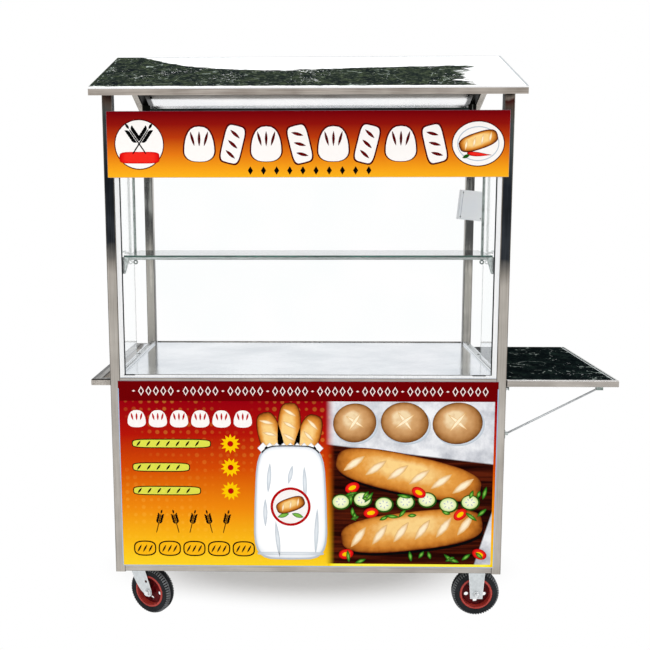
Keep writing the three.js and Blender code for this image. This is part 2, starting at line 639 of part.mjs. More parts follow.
/** The table's tube ring, its hinge flange, and the cheeks that keep each stay in place. */
function tableFrame() {
  const ring = (inset) => [
    TABLE_X + inset, TABLE_END_X - inset, TABLE_FRONT_Y + inset, TABLE_BACK_Y - inset,
  ];
  const wall = ROOF_TUBE_WALL;
  const outer = box(...ring(0), TABLE_UNDER_Z, TABLE_Z);
  const gap = box(...ring(TABLE_TUBE), TABLE_UNDER_Z - CUT_OVERRUN, TABLE_Z + CUT_OVERRUN);
  const bore = joined(
    [box(...ring(wall), TABLE_UNDER_Z + wall, TABLE_Z - wall)],
    [box(...ring(TABLE_TUBE - wall), TABLE_UNDER_Z, TABLE_Z)],
  );
  const drain = drainHole(TABLE_END_X - TABLE_TUBE / 2, (TABLE_FRONT_Y + TABLE_BACK_Y) / 2, TABLE_UNDER_Z);
  const frame = joined([outer], [gap, bore, drain]);

  const seatZ = TABLE_UNDER_Z + wall;
  const flangeX = TABLE_HINGE_X + TABLE_HINGE_RADIUS + STAY_SIDE_PLAY;
  const flange = box(
    flangeX, flangeX + TABLE_FLANGE, TABLE_FRONT_Y + TABLE_HINGE_END, TABLE_BACK_Y - TABLE_HINGE_END,
    TABLE_HINGE_Z - TABLE_HINGE_RADIUS, seatZ,
  );
  const tipX = TABLE_HINGE_X + STAY_TIP_FROM_HINGE;
  const cheeks = STAY_YS.flatMap((y) => [-1, 1].map((end) => box(
    tipX - CLIP_LENGTH / 2, tipX + CLIP_LENGTH / 2, y + end * STAY_GAP, y + end * (STAY_GAP + STAY_EAR),
    TABLE_UNDER_Z - CLIP_DEPTH, seatZ,
  )));
  return joined([frame, flange, ...cheeks]);
}

/** Leaf on the body's counter rail, and the barrel under the table's inner edge. */
function tableHinge() {
  const [frontY, backY] = [TABLE_FRONT_Y + TABLE_HINGE_END, TABLE_BACK_Y - TABLE_HINGE_END];
  const leafHigh = COUNTER_Z - TABLE_LEAF_BELOW_COUNTER;
  const leaf = box(HALF_WIDTH, HALF_WIDTH + TABLE_LEAF, frontY, backY, TABLE_HINGE_Z, leafHigh);
  const barrel = rodY(TABLE_HINGE_RADIUS, TABLE_HINGE_X, TABLE_HINGE_Z, frontY, backY, SMALL_SIDES);
  return joined([leaf, barrel]);
}

/** A rod from its pivot eye to just under the table frame. */
function stay(y) {
  const tipX = TABLE_HINGE_X + STAY_TIP_FROM_HINGE;
  const tipZ = TABLE_UNDER_Z - STAY_RADIUS - SEAT_GAP;
  const from = new THREE.Vector3(STAY_PIVOT_X, y, STAY_PIVOT_Z);
  const along = new THREE.Vector3(tipX, y, tipZ).sub(from);
  const length = along.length() - STAY_PIN_RADIUS - STAY_RADIUS;
  const turn = new THREE.Quaternion().setFromUnitVectors(new THREE.Vector3(0, 1, 0), along.normalize());
  const start = STAY_PIN_RADIUS + STAY_RADIUS / 2;
  const rod = new THREE.CylinderGeometry(STAY_RADIUS, STAY_RADIUS, length, SMALL_SIDES)
    .translate(0, start + length / 2, 0)
    .applyQuaternion(turn)
    .translate(...from.toArray());
  const eye = rodY(STAY_EYE_RADIUS, from.x, from.z, y - STAY_RADIUS, y + STAY_RADIUS, ROUND_SIDES);
  const hole = rodY(STAY_PIN_RADIUS + SEAT_GAP, from.x, from.z, y - STAY_GAP, y + STAY_GAP, ROUND_SIDES);
  return joined([rod, eye], [hole]);
}

/** A base plate on the body's side, with two ears and the stay's pin. */
function stayBracket(y) {
  const half = STAY_BASE_SIZE / 2;
  const reach = STAY_GAP + STAY_EAR;
  const width = Math.min(half, HALF_DEPTH - Math.abs(y));
  const base = box(
    HALF_WIDTH, HALF_WIDTH + STAY_BASE, y - width, y + width, STAY_PIVOT_Z - half, STAY_PIVOT_Z + half,
  );
  const ears = [-1, 1].map((end) => box(
    HALF_WIDTH, STAY_PIVOT_X + STAY_EAR_RADIUS, y + end * STAY_GAP, y + end * reach,
    STAY_PIVOT_Z - STAY_EAR_RADIUS, STAY_PIVOT_Z + STAY_EAR_RADIUS,
  ));
  const pin = rodY(STAY_PIN_RADIUS, STAY_PIVOT_X, STAY_PIVOT_Z, y - reach, y + reach, ROUND_SIDES);
  return joined([base, ...ears, pin]);
}

function addTable(cart) {
  add(cart, "table_frame", tableFrame(), STEEL);
  const top = box(
    TABLE_X, TABLE_END_X - TABLE_RIM, TABLE_FRONT_Y + TABLE_RIM, TABLE_BACK_Y - TABLE_RIM,
    TABLE_Z, TABLE_Z + SHEET,
  );
  add(cart, "table_top", top, TABLE_SHEET);
  add(cart, "table_hinge", tableHinge(), ZINC);
  ["front", "rear"].forEach((name, i) => {
    add(cart, name + "_stay", stay(STAY_YS[i]), ZINC);
    add(cart, name + "_stay_bracket", stayBracket(STAY_YS[i]), ZINC);
  });
}

// Casters, drawn with the wheel's axle at x = 0 and y = 0

/** A closed profile of [radius, distance along the axle], turned about the axle. */
function turned(profile, sides) {
  const points = [...profile, profile[0]].map(([radius, along]) => new THREE.Vector2(radius, along));
  return new THREE.LatheGeometry(points, sides).translate(0, 0, WHEEL_RADIUS);
}

function mirrored(half) {
  return [...half, ...half.map(([radius, along]) => [radius, -along]).reverse()];
}

function tyre() {
  const seat = RIM_SEAT_RADIUS + SEAT_GAP;
  const bead = RIM_FLANGE_RADIUS + SEAT_GAP;
  const height = WHEEL_RADIUS - seat;
  const half = TYRE_WIDTH / 2;
  const inner = RIM_SEAT_WIDTH / 2 - SEAT_GAP;
  return turned(mirrored([
    [seat, -inner],
    [bead, -inner],
    [bead, -half],
    [bead + height * TYRE_BEAD_SHARE, -half],
    [seat + height * TYRE_BULGE_SHARE, -half],
    [seat + height * TYRE_SHOULDER_SHARE, -half * TYRE_SHOULDER_WIDTH_SHARE],
    [WHEEL_RADIUS, -half * TYRE_CROWN_SHARE],
  ]), WHEEL_SIDES);
}

/** Hub, web with round holes, and the flanged ring that the tyre sits on. */
function rim() {
  const bore = AXLE_RADIUS + SEAT_GAP;
  const hubEnd = FORK_HALF_GAP - SEAT_GAP;
  const web = WEB_THICKNESS / 2;
  const wall = RIM_SEAT_RADIUS - RIM_WALL;
  const seatEnd = RIM_SEAT_WIDTH / 2;
  const end = TYRE_WIDTH / 2;
  const ring = turned(mirrored([
    [bore, -hubEnd],
    [HUB_RADIUS, -hubEnd],
    [HUB_RADIUS, -web],
    [wall, -web],
    [wall, -end],
    [RIM_FLANGE_RADIUS, -end],
    [RIM_FLANGE_RADIUS, -seatEnd],
    [RIM_SEAT_RADIUS, -seatEnd],
  ]), WHEEL_SIDES);
  const place = HUB_RADIUS + (wall - HUB_RADIUS) * WEB_HOLE_PLACE_SHARE;
  const holes = Array.from({ length: WEB_HOLES }, (_, i) => {
    const angle = (i + 1 / 2) * (2 * Math.PI / WEB_HOLES);
    const [x, z] = [place * Math.sin(angle), WHEEL_RADIUS + place * Math.cos(angle)];
    return rodY(WEB_HOLE_RADIUS, x, z, -WEB_THICKNESS, WEB_THICKNESS, SMALL_SIDES);
  });
  return joined([ring], holes);
}

/** The axle bolt, with its hexagon head in front and its nut behind. */
function axle() {
  const leg = FORK_HALF_WIDTH + SEAT_GAP;
  const end = leg + NUT_HEIGHT;
  return joined([
    rodY(AXLE_RADIUS, 0, WHEEL_RADIUS, -end, end, ROUND_SIDES),
    rodY(NUT_RADIUS, 0, WHEEL_RADIUS, -end, -leg, HEX_SIDES),
    rodY(NUT_RADIUS, 0, WHEEL_RADIUS, leg, end, HEX_SIDES),
  ]);
}

/** Cuts a fork's two legs from one outline, and drills the axle's hole. */
function forkLegs(outline) {
  const legs = [-1, 1].map((end) => prismY(outline, end * FORK_HALF_GAP, end * FORK_HALF_WIDTH));
  const reach = FORK_HALF_WIDTH + CUT_OVERRUN;
  return [legs, rodY(AXLE_RADIUS + SEAT_GAP, 0, WHEEL_RADIUS, -reach, reach, ROUND_SIDES)];
}

function swivelFork() {
  const topZ = CROWN_Z + CASTER_STEEL;
  const rear = -TRAIL - FORK_BACK;
  const front = -TRAIL + FORK_FRONT;
  const outline = new THREE.Shape();
  outline.moveTo(rear, topZ);
  outline.quadraticCurveTo(
    rear * (1 - FORK_BELLY_SHARE), WHEEL_RADIUS + (topZ - WHEEL_RADIUS) * FORK_BELLY_HEIGHT_SHARE,
    FORK_TIP_RADIUS * Math.cos(TIP_START), WHEEL_RADIUS + FORK_TIP_RADIUS * Math.sin(TIP_START),
  );
  outline.absarc(0, WHEEL_RADIUS, FORK_TIP_RADIUS, TIP_START, TIP_END, false);
  outline.lineTo(front, topZ);
  const [legs, bore] = forkLegs(outline);
  const crown = box(rear, front, -FORK_HALF_WIDTH, FORK_HALF_WIDTH, CROWN_Z, topZ);
  const reach = FORK_HALF_WIDTH + CUT_OVERRUN;
  const holeZ = WHEEL_RADIUS + FORK_HOLE_UP;
  return joined([...legs, crown], [
    bore,
    rodY(FORK_HOLE_RADIUS, -FORK_HOLE_BACK, holeZ, -reach, reach, SMALL_SIDES),
    rodZ(KINGPIN_RADIUS + SEAT_GAP, -TRAIL, 0, CROWN_Z - CUT_OVERRUN, topZ + CUT_OVERRUN, ROUND_SIDES),
  ]);
}

/** Mounting plate, bearing housing and the kingpin whose head holds the fork up. */
function swivelPlate() {
  const plateZ = BASE_Z - CASTER_STEEL;
  const headZ = CROWN_Z - SEAT_GAP - KINGPIN_HEAD_HEIGHT;
  return joined([
    box(-PLATE_LENGTH / 2, PLATE_LENGTH / 2, -PLATE_DEPTH / 2, PLATE_DEPTH / 2, plateZ, BASE_Z),
    rodZ(BEARING_RADIUS, 0, 0, BEARING_Z, plateZ, 2 * ROUND_SIDES),
    rodZ(KINGPIN_RADIUS, 0, 0, headZ, BEARING_Z + SEAT_GAP, ROUND_SIDES),
    rodZ(KINGPIN_HEAD_RADIUS, 0, 0, headZ, headZ + KINGPIN_HEAD_HEIGHT, ROUND_SIDES),
  ]);
}

function rigidFork() {
  const plateZ = BASE_Z - CASTER_STEEL;
  const footZ = WHEEL_RADIUS - FORK_TIP_RADIUS;
  const [top, foot] = [RIGID_TOP_WIDTH / 2, RIGID_FOOT_WIDTH / 2];
  const [legs, bore] = forkLegs([[-foot, footZ], [foot, footZ], [top, BASE_Z], [-top, BASE_Z]]);
  const plate = box(-PLATE_LENGTH / 2, PLATE_LENGTH / 2, -PLATE_DEPTH / 2, PLATE_DEPTH / 2, plateZ, BASE_Z);
  return joined([...legs, plate], [bore]);
}

function addWheel(parent, name) {
  add(parent, name + "_axle", axle(), ZINC);
  add(parent, name + "_rim", rim(), RED_PAINT);
  add(parent, name + "_tyre", tyre(), RUBBER);
}

function addCasters(cart) {
  for (const [row, end] of [["front", -1], ["rear", 1]]) {
    const left = new THREE.Group();
    left.position.set(-HALF_WIDTH + CASTER_INSET, end * SWIVEL_FROM_MIDDLE, 0);
    cart.add(left);
    add(left, row + "_left_caster_plate", swivelPlate(), ZINC);
    const swivel = new THREE.Group();
    swivel.rotation.z = SWIVEL_TURN;
    left.add(swivel);
    const wheel = new THREE.Group();
    wheel.position.x = TRAIL;
    swivel.add(wheel);
    add(wheel, row + "_left_caster_fork", swivelFork(), ZINC);
    addWheel(wheel, row + "_left_caster");

    const right = new THREE.Group();
    right.position.set(HALF_WIDTH - CASTER_INSET, end * RIGID_FROM_MIDDLE, 0);
    cart.add(right);
    add(right, row + "_right_caster_fork", rigidFork(), ZINC);
    addWheel(right, row + "_right_caster");
  }
}

// The whole cart, moved so that the origin is under the middle of its full length

const cart = new THREE.Group();
cart.position.x = (HALF_WIDTH + HANDLE_REACH - TABLE_END_X) / 2;
addBody(cart);
addBoards(cart);
addDoors(cart);
addFrontGlass(cart);
addSidePanes(cart);
addShelf(cart);
addSwitchBox(cart);
add(cart, "roof_frame", roofFrame(), STEEL);
add(cart, "roof_sheet", roofSheet(), ROOF_SHEET);
add(cart, "push_handle", pushHandle(), STEEL);
addTable(cart);
addCasters(cart);

export default cart;
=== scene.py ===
# %% [markdown]
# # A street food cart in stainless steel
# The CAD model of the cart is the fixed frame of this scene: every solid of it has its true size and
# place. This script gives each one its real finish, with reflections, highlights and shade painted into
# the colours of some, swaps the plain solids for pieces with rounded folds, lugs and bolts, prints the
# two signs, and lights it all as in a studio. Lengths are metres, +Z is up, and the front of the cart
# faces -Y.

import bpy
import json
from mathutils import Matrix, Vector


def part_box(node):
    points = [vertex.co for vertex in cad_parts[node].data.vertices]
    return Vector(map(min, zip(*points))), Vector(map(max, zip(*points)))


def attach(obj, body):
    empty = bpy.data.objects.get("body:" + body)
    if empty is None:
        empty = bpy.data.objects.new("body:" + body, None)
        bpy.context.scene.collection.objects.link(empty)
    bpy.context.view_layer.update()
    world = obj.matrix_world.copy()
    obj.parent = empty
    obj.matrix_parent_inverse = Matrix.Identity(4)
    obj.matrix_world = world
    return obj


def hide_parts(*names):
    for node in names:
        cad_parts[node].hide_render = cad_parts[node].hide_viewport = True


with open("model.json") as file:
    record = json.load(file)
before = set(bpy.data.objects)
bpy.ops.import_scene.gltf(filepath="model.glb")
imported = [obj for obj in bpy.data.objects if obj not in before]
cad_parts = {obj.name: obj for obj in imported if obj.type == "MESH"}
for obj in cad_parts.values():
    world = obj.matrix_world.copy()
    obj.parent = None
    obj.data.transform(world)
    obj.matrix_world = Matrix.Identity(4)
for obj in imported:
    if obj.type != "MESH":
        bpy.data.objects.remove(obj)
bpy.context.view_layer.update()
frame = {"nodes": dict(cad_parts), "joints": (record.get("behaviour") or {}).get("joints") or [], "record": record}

# %% [markdown]
# ## What the frame says
# Blender's bmesh module edits a mesh in memory, and mathutils does the sums of places and turns. The
# frame holds each solid under its node's name, and its record says which body the node rides on and
# which finish it takes. These tables are made once, so that each later step only has to look things up.

# %% Tools, and what the frame says
import json
import math
import random

import bmesh
import bpy
from mathutils import Matrix, Vector

MM = 0.001
CAD = frame["nodes"]
BODY_OF = {n: body for body, members in frame["record"]["behaviour"]["bodies"].items() for n in members}
JOINTS = {joint["name"]: joint for joint in frame["joints"]}
dice = random.Random(11)

# %% [markdown]
# ## Colours and shader nodes
# A paint chart gives colours as sRGB hex codes, and Blender's shaders work in linear light, so one
# function turns each code over. One more function adds a shader node with its settings and links,
# which keeps each finish down to the few lines that matter.

# %% Two helpers for finishes
def linear(code):
    """A hex colour as the linear red, green, blue and alpha that shaders use."""
    parts = [int(code[i:i + 2], 16) / 255 for i in (1, 3, 5)]
    return tuple(c / 12.92 if c <= 0.04045 else ((c + 0.055) / 1.055) ** 2.4 for c in parts) + (1.0,)


def node(tree, kind, links=None, stops=None, **settings):
    """Adds a shader node. links gives each input a value, or the node or output that feeds it."""
    made = tree.nodes.new("ShaderNode" + kind)
    for name, value in settings.items():
        setattr(made, name, value)
    for name, value in (links or {}).items():
        value = value.outputs[0] if isinstance(value, bpy.types.Node) else value
        if isinstance(value, bpy.types.NodeSocket):
            tree.links.new(value, made.inputs[name])
        else:
            made.inputs[name].default_value = value
    if stops:
        ramp = made.color_ramp.elements
        ramp[0].position, ramp[0].color = stops[0][0], linear(stops[0][1])
        ramp[-1].position, ramp[-1].color = stops[-1][0], linear(stops[-1][1])
        for place, code in stops[1:-1]:
            ramp.new(place).color = linear(code)
    return made


def begin(name):
    """A new material with an empty tree, and the object's own coordinates to draw patterns on."""
    made = bpy.data.materials.new(name)
    made.use_nodes = True
    made.node_tree.nodes.clear()
    return made, made.node_tree, node(made.node_tree, "TexCoord").outputs["Object"]


print("white is", linear("#FFFFFF"), "and mid grey is", linear("#808080"))

# %% [markdown]
# ## Brushed stainless steel
# The posts and rails are 201 or 304 steel tube with a brushed finish: an abrasive belt has run along
# each tube, so fine scratches lie along it and smear reflections across it. Real scratches are about
# 0.1 mm apart, far too fine to show, so the streaks here are drawn about 3 mm wide. The noise is
# squeezed across the grain and stretched along it, and it drives colour, roughness and a faint bump.
# Polished tube also mirrors whatever stands before it. Upright posts show that as bands of other
# tones over their height, near black beside the case: painted reflections, which two colour ramps over
# height give.

# %% Brushed steel
GRAIN_ACROSS = 330  # streaks per metre across the grain, about 3 mm each
GRAIN_ALONG = 5  # and along it, 200 mm each
ALONG_X = (GRAIN_ALONG, GRAIN_ACROSS, GRAIN_ACROSS)
ALONG_Y = (GRAIN_ACROSS, GRAIN_ALONG, GRAIN_ACROSS)
ALONG_Z = (GRAIN_ACROSS, GRAIN_ACROSS, GRAIN_ALONG)
BROAD_ALONG_Y = (150, 3, 150)  # stripes 7 to 8 mm wide, as a narrow tube mirrors its surroundings
BROAD_ALONG_Z = (120, 120, 3)
ZONES_FROM, ZONES_TO = 1.0, 1.7  # heights between which the posts' painted reflections change their tone
ZONE_TILT = (0.034, 0, 1)  # the change comes a little lower on the right post
ZONE_RAGGED = 0.12  # how far slow clouds move the borders of the zones, in metres


def brushed_steel(name, grain, dark, light, roughness=0.34, contrast=0.16, painted_zones=None, pivot=0.5):
    """Steel with belt marks along one axis. Each zone of painted reflection is a height with its dark and
    light tone. The pivot is the noise value between dark and light, so a higher one leaves only the
    strongest streaks light."""
    made, tree, place = begin(name)
    squeezed = node(tree, "Mapping", {"Vector": place, "Scale": grain})
    streaks = node(tree, "TexNoise", {"Vector": squeezed, "Scale": 1.0, "Detail": 4.0, "Roughness": 0.65})
    clouds = node(tree, "TexNoise", {"Vector": place, "Scale": 9.0, "Detail": 3.0})
    tone = node(tree, "Mix", {0: 0.42, 2: streaks, 3: clouds})
    colour = node(tree, "ValToRGB", {"Fac": tone}, [(pivot - contrast, dark), (pivot + contrast, light)])
    if painted_zones:
        height = node(tree, "VectorMath", {0: place, 1: ZONE_TILT}, operation="DOT_PRODUCT")
        ragged = node(tree, "Math", {
            0: clouds, 1: ZONE_RAGGED, 2: height.outputs["Value"],
        }, operation="MULTIPLY_ADD")
        share = node(tree, "MapRange", {
            "Value": ragged, "From Min": ZONES_FROM + ZONE_RAGGED / 2,
            "From Max": ZONES_TO + ZONE_RAGGED / 2,
        })
        tones = [
            node(tree, "ValToRGB", {"Fac": share}, [
                ((zone[0] - ZONES_FROM) / (ZONES_TO - ZONES_FROM), zone[k]) for zone in painted_zones
            ]) for k in (1, 2)
        ]
        swing = node(tree, "MapRange", {
            "Value": tone, "From Min": pivot - contrast, "From Max": pivot + contrast,
        })
        colour = node(tree, "Mix", {0: swing, 6: tones[0], 7: tones[1]}, data_type="RGBA").outputs[2]
    shine = node(tree, "MapRange", {
        "Value": tone, "From Min": 0.3, "From Max": 0.7,
        "To Min": roughness - 0.07, "To Max": roughness + 0.09,
    })
    relief = node(tree, "Bump", {"Height": streaks, "Strength": 0.1, "Distance": 0.2 * MM})
    shader = node(tree, "BsdfPrincipled", {
        "Base Color": colour, "Metallic": 1.0, "Roughness": shine, "Normal": relief,
    })
    node(tree, "OutputMaterial", {"Surface": shader})
    return made


print("belt marks", round(1 / GRAIN_ACROSS / MM, 1), "mm wide and", round(1 / GRAIN_ALONG / MM), "mm long")

# %% [markdown]
# Each tube takes the steel whose marks run along it, with the reflections that it shows on the real
# cart painted into its tones: warm greys where it mirrors the pale floor and wall, and near black where
# it mirrors the dark of the case. Rounded bends, the undersides of the top arms and the inner sides of
# the posts are darker steels of their own, painted dark reflection and painted shade, because a bend
# gathers the whole room into one thin line and an inner side sees little light.

# %% The steels of this cart
rail_steel = brushed_steel("brushed steel rails", ALONG_X, "#98928B", "#CBC5BE")
eave_steel = brushed_steel("brushed steel eaves", ALONG_X, "#8E857C", "#C2B9B0", contrast=0.12)
arm_steel = brushed_steel("brushed steel arms", ALONG_Y, "#8A847C", "#CBC5BD", contrast=0.12)
# Bends: a darker steel for a painted dark reflection, the whole room gathered into one thin line.
bend_dark_reflection_steel = brushed_steel("brushed steel tube bends", ALONG_Z, "#4A4641", "#8E8880", contrast=0.12)
dark_steel = brushed_steel("brushed steel in shadow", ALONG_X, "#141A18", "#3A4440")
dark_bend_steel = brushed_steel("brushed steel tube bends in shadow", ALONG_Z, "#161613", "#55524C")
black_steel = brushed_steel("brushed steel in deep shadow", ALONG_Y, "#040404", "#1C1C1A")
# Handle tops: painted reflection stripes about 7 mm wide, from near black to pale.
handle_reflection_steel = brushed_steel(
    "brushed steel handle tops", BROAD_ALONG_Y, "#161615", "#908E8A", contrast=0.03,
)
# Front posts: painted reflections in bands over the height, near black beside the case.
front_post_reflection_steel = brushed_steel("brushed steel front posts", ALONG_Z, "#A19B93", "#CAC4BC", painted_zones=[
    (1.0, "#A19B93", "#CAC4BC"), (1.09, "#9C958D", "#C4BEB6"), (1.125, "#66625C", "#A39D95"),
    (1.16, "#17191C", "#454A50"), (1.4, "#0B0D10", "#2B3038"), (1.57, "#161A1B", "#565E5C"),
    (1.6, "#3A2A25", "#6E5D52"), (1.622, "#33100F", "#5A2420"), (1.636, "#8F8378", "#B8ADA2"),
    (1.65, "#15120F", "#2A2622"),
])
# Inner sides at the rear: painted shade, dark low down and pale above.
rear_inner_shade_steel = brushed_steel(
    "brushed steel inner sides at the rear", ALONG_Z, "#2A2A28", "#55534F", painted_zones=[
        (1.0, "#2A2A28", "#55534F"), (1.1, "#2A2A28", "#55534F"), (1.2, "#8A8580", "#BDB8B0"),
        (1.65, "#8A8580", "#BDB8B0"),
    ],
)
# Inner sides: painted shade, near black beside the case.
inner_shade_steel = brushed_steel("brushed steel inner sides", ALONG_Z, "#6A665F", "#9A958D", painted_zones=[
    (1.0, "#6A665F", "#9A958D"), (1.12, "#6A665F", "#9A958D"), (1.17, "#0B0D10", "#2B3038"),
    (1.65, "#0B0D10", "#2B3038"),
])
# Rear posts: painted reflections, near black higher up.
rear_post_reflection_steel = brushed_steel(
    "brushed steel rear posts", BROAD_ALONG_Z, "#A8A49B", "#D0CBC2", contrast=0.05, pivot=0.57, painted_zones=[
        (1.0, "#A8A49B", "#D4CFC6"), (1.1, "#9C988F", "#C8C2B9"), (1.14, "#5C5A54", "#A8A49C"),
        (1.2, "#121310", "#8E8F8A"), (1.65, "#0F100E", "#8A8B86"),
    ],
)
sheet_steel = brushed_steel("brushed steel sheet", ALONG_X, "#B4AFA8", "#D3CFC9", roughness=0.3)
door_steel = brushed_steel("brushed steel doors", ALONG_Z, "#B0ABA4", "#D2CEC8", roughness=0.3)
print("brushed steels made")

# %% [markdown]
# ## Mirror-polished steel and aluminium
# The counter, the pulls and the underside of the roof are bright-annealed sheet: cold rolled between
# polished rolls, it stays nearly a mirror. Its roughness is low, with slow cloudy patches where hands
# and cloths have dulled it. The glazing channels are drawn aluminium with a satin clear anodising,
# paler and softer than the steel.

# %% Polished sheet and anodised aluminium
def polished_metal(name, dark, light, roughness, patches=5.0, pull=None):
    """A bright sheet or drawn section with slow cloudy patches, or faint drawing lines along pull."""
    made, tree, place = begin(name)
    laid = node(tree, "Mapping", {"Vector": place, "Scale": pull or (1, 1, 1)})
    clouds = node(tree, "TexNoise", {"Vector": laid, "Scale": 1.0 if pull else patches, "Detail": 3.0})
    wear = node(tree, "TexNoise", {"Vector": place, "Scale": 140.0, "Detail": 2.0})
    tone = node(tree, "Mix", {0: 0.2, 2: clouds, 3: wear})
    colour = node(tree, "ValToRGB", {"Fac": tone}, [(0.34, dark), (0.62, light)])
    shine = node(tree, "MapRange", {
        "Value": tone, "From Min": 0.3, "From Max": 0.7, "To Min": roughness, "To Max": roughness + 0.1,
    })
    relief = node(tree, "Bump", {"Height": wear, "Strength": 0.03, "Distance": 0.2 * MM})
    shader = node(tree, "BsdfPrincipled", {
        "Base Color": colour, "Metallic": 1.0, "Roughness": shine, "Normal": relief,
    })
    node(tree, "OutputMaterial", {"Surface": shader})
    return made


counter_steel = polished_metal("bright annealed counter sheet", "#CAD0D8", "#EAEDF2", 0.1)
mirror_steel = polished_metal("bright annealed roof underside", "#F0F1F2", "#FCFCFC", 0.12)
pull_steel = polished_metal("polished bar", "#C3C6C9", "#EDEFF0", 0.14, patches=30.0)
anodised = polished_metal("satin anodised aluminium", "#DDE0E3", "#F7F8F9", 0.3, pull=ALONG_X)
anodised_upright = polished_metal("satin anodised uprights", "#EEF0F1", "#FFFFFF", 0.3, pull=ALONG_Z)
channel_wall = polished_metal("satin anodised channel wall", "#E9ECED", "#FDFEFE", 0.3, pull=ALONG_Y)
shelf_bar = polished_metal("satin shelf rail", "#85898A", "#B0B3B2", 0.34, pull=ALONG_X)
# Folded lips and edges take a near-white painted highlight, where they catch the light.
painted_highlight_steel = polished_metal("bright folded lip", "#F2F2F2", "#FFFFFF", 0.22, pull=ALONG_X)
print("polished metals made")

# %% [markdown]
# ## Sheet with a painted reflection
# The tops of the roof and of the folding table look like dark marble with pale veins: thin polished
# sheet is never flat, and its ripples break a dark surrounding into flecks. A mirror would show
# whatever this studio has around it, so that reflection is painted into the colour of a dull dark
# ground instead: painted blotches from one noise, fine specks and bright flecks from stretched ones,
# and hair-thin scribbles where a slow noise passes its middle value.

# %% Sheet with a painted reflection
def painted_reflection_sheet(name, blotches, speck, flecks, scribbles=0.0, bounds=None):
    """A painted reflection on dull metal: dark blotches of about 40 mm, specks of 5 by 11 mm, pale veins
    and bright flecks. flecks are their cells per metre and their lowest noise value, scribbles are the
    veins' cells per metre, and bounds lays what lies round the dark part over it."""
    made, tree, place = begin(name)
    blotch = node(tree, "TexNoise", {"Vector": place, "Scale": 26.0, "Detail": 6.0, "Roughness": 0.72})
    colour = node(tree, "ValToRGB", {"Fac": blotch}, blotches)
    stretched = node(tree, "Mapping", {"Vector": place, "Scale": (90, 210, 210)})
    grain = node(tree, "TexNoise", {"Vector": stretched, "Scale": 1.0, "Detail": 3.0})
    specks = node(tree, "MapRange", {"Value": grain, "From Min": 0.56, "From Max": 0.7, "To Max": 0.75})
    colour = node(tree, "Mix", {0: specks, 6: colour, 7: linear(speck)}, data_type="RGBA").outputs[2]
    if scribbles:
        slow = node(tree, "TexNoise", {
            "Vector": place, "Scale": scribbles, "Detail": 2.5, "Distortion": 1.2,
        })
        off = node(tree, "Math", {0: slow, 1: 0.5}, operation="SUBTRACT")
        off = node(tree, "Math", {0: off}, operation="ABSOLUTE")
        line = node(tree, "MapRange", {"Value": off, "From Min": 0.011, "From Max": 0.003})
        gaps = node(tree, "MapRange", {"Value": blotch, "From Min": 0.5, "From Max": 0.58})
        line = node(tree, "Math", {0: line, 1: gaps}, operation="MULTIPLY")
        colour = node(tree, "Mix", {
            0: line, 6: colour, 7: linear("#9AA59F"),
        }, data_type="RGBA").outputs[2]
    laid = node(tree, "Mapping", {"Vector": place, "Scale": flecks[0]})
    bright = node(tree, "TexNoise", {"Vector": laid, "Scale": 1.0, "Detail": 3.0, "Roughness": 0.7})
    patchy = node(tree, "TexNoise", {"Vector": place, "Scale": 8.0, "Detail": 1.0})
    bright = node(tree, "Mix", {0: 0.3, 2: bright, 3: patchy})
    shown = node(tree, "MapRange", {"Value": bright, "From Min": flecks[1], "From Max": flecks[1] + 0.03})
    colour = node(tree, "Mix", {0: shown, 6: colour, 7: linear("#F4F6F6")}, data_type="RGBA").outputs[2]
    if bounds:
        colour = bounds(tree, place, colour)
    relief = node(tree, "Bump", {"Height": blotch, "Strength": 0.08, "Distance": 0.5 * MM})
    shader = node(tree, "BsdfPrincipled", {
        "Base Color": colour, "Roughness": 0.5, "Specular IOR Level": 0.0, "Normal": relief,
    })
    node(tree, "OutputMaterial", {"Surface": shader})
    return made


print("mottled sheet can be made")

# %% [markdown]
# The table's sheet is the darker of the two. It is folded down along its outer edge, and the folds
# catch the light as two thin pale lines, painted highlights laid over the painted reflection at their
# real distances from the edge.

# %% The table's sheet
TABLE_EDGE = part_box("table_top")[1].x
TABLE_HIGHLIGHT_LINES = (2 * MM, 11 * MM)  # two folds show as painted pale highlights, so far in from the outer edge
HIGHLIGHT_LINE_HALF = 2 * MM


def table_highlight_bounds(tree, place, dark):
    """Two painted highlights along the table's outer edge, laid over the dark painted reflection."""
    across = node(tree, "SeparateXYZ", {"Vector": place}).outputs["X"]
    outer, inner = (
        node(tree, "Math", {0: across, 1: TABLE_EDGE - line, 2: HIGHLIGHT_LINE_HALF}, operation="COMPARE")
        for line in TABLE_HIGHLIGHT_LINES
    )
    folds = node(tree, "Math", {0: outer, 1: inner}, operation="MAXIMUM")
    return node(tree, "Mix", {0: folds, 6: dark, 7: linear("#BFC3C3")}, data_type="RGBA").outputs[2]


# The dark colours of the table's painted reflection.
TABLE_REFLECTION_COLOURS = [(0.3, "#05080A"), (0.52, "#0C1315"), (0.75, "#22302A")]
table_painted_reflection = painted_reflection_sheet(
    "rippled table sheet", TABLE_REFLECTION_COLOURS, "#2A352F", ((70, 130, 130), 0.655), scribbles=7.0,
    bounds=table_highlight_bounds,
)
print("table sheet mottled, its outer edge at x", round(TABLE_EDGE, 4))

# %% [markdown]
# On the roof the painted dark reflection covers the front slope only as far as a ragged line, and the
# rest is a painted white reflection. Two curves draw that line: how far down from the ridge the dark
# begins at each place along the roof, and how far along it reaches at each place down the slope. A
# noise frays both. A grey line of painted shade marks the folds at the ridge and at the gable.

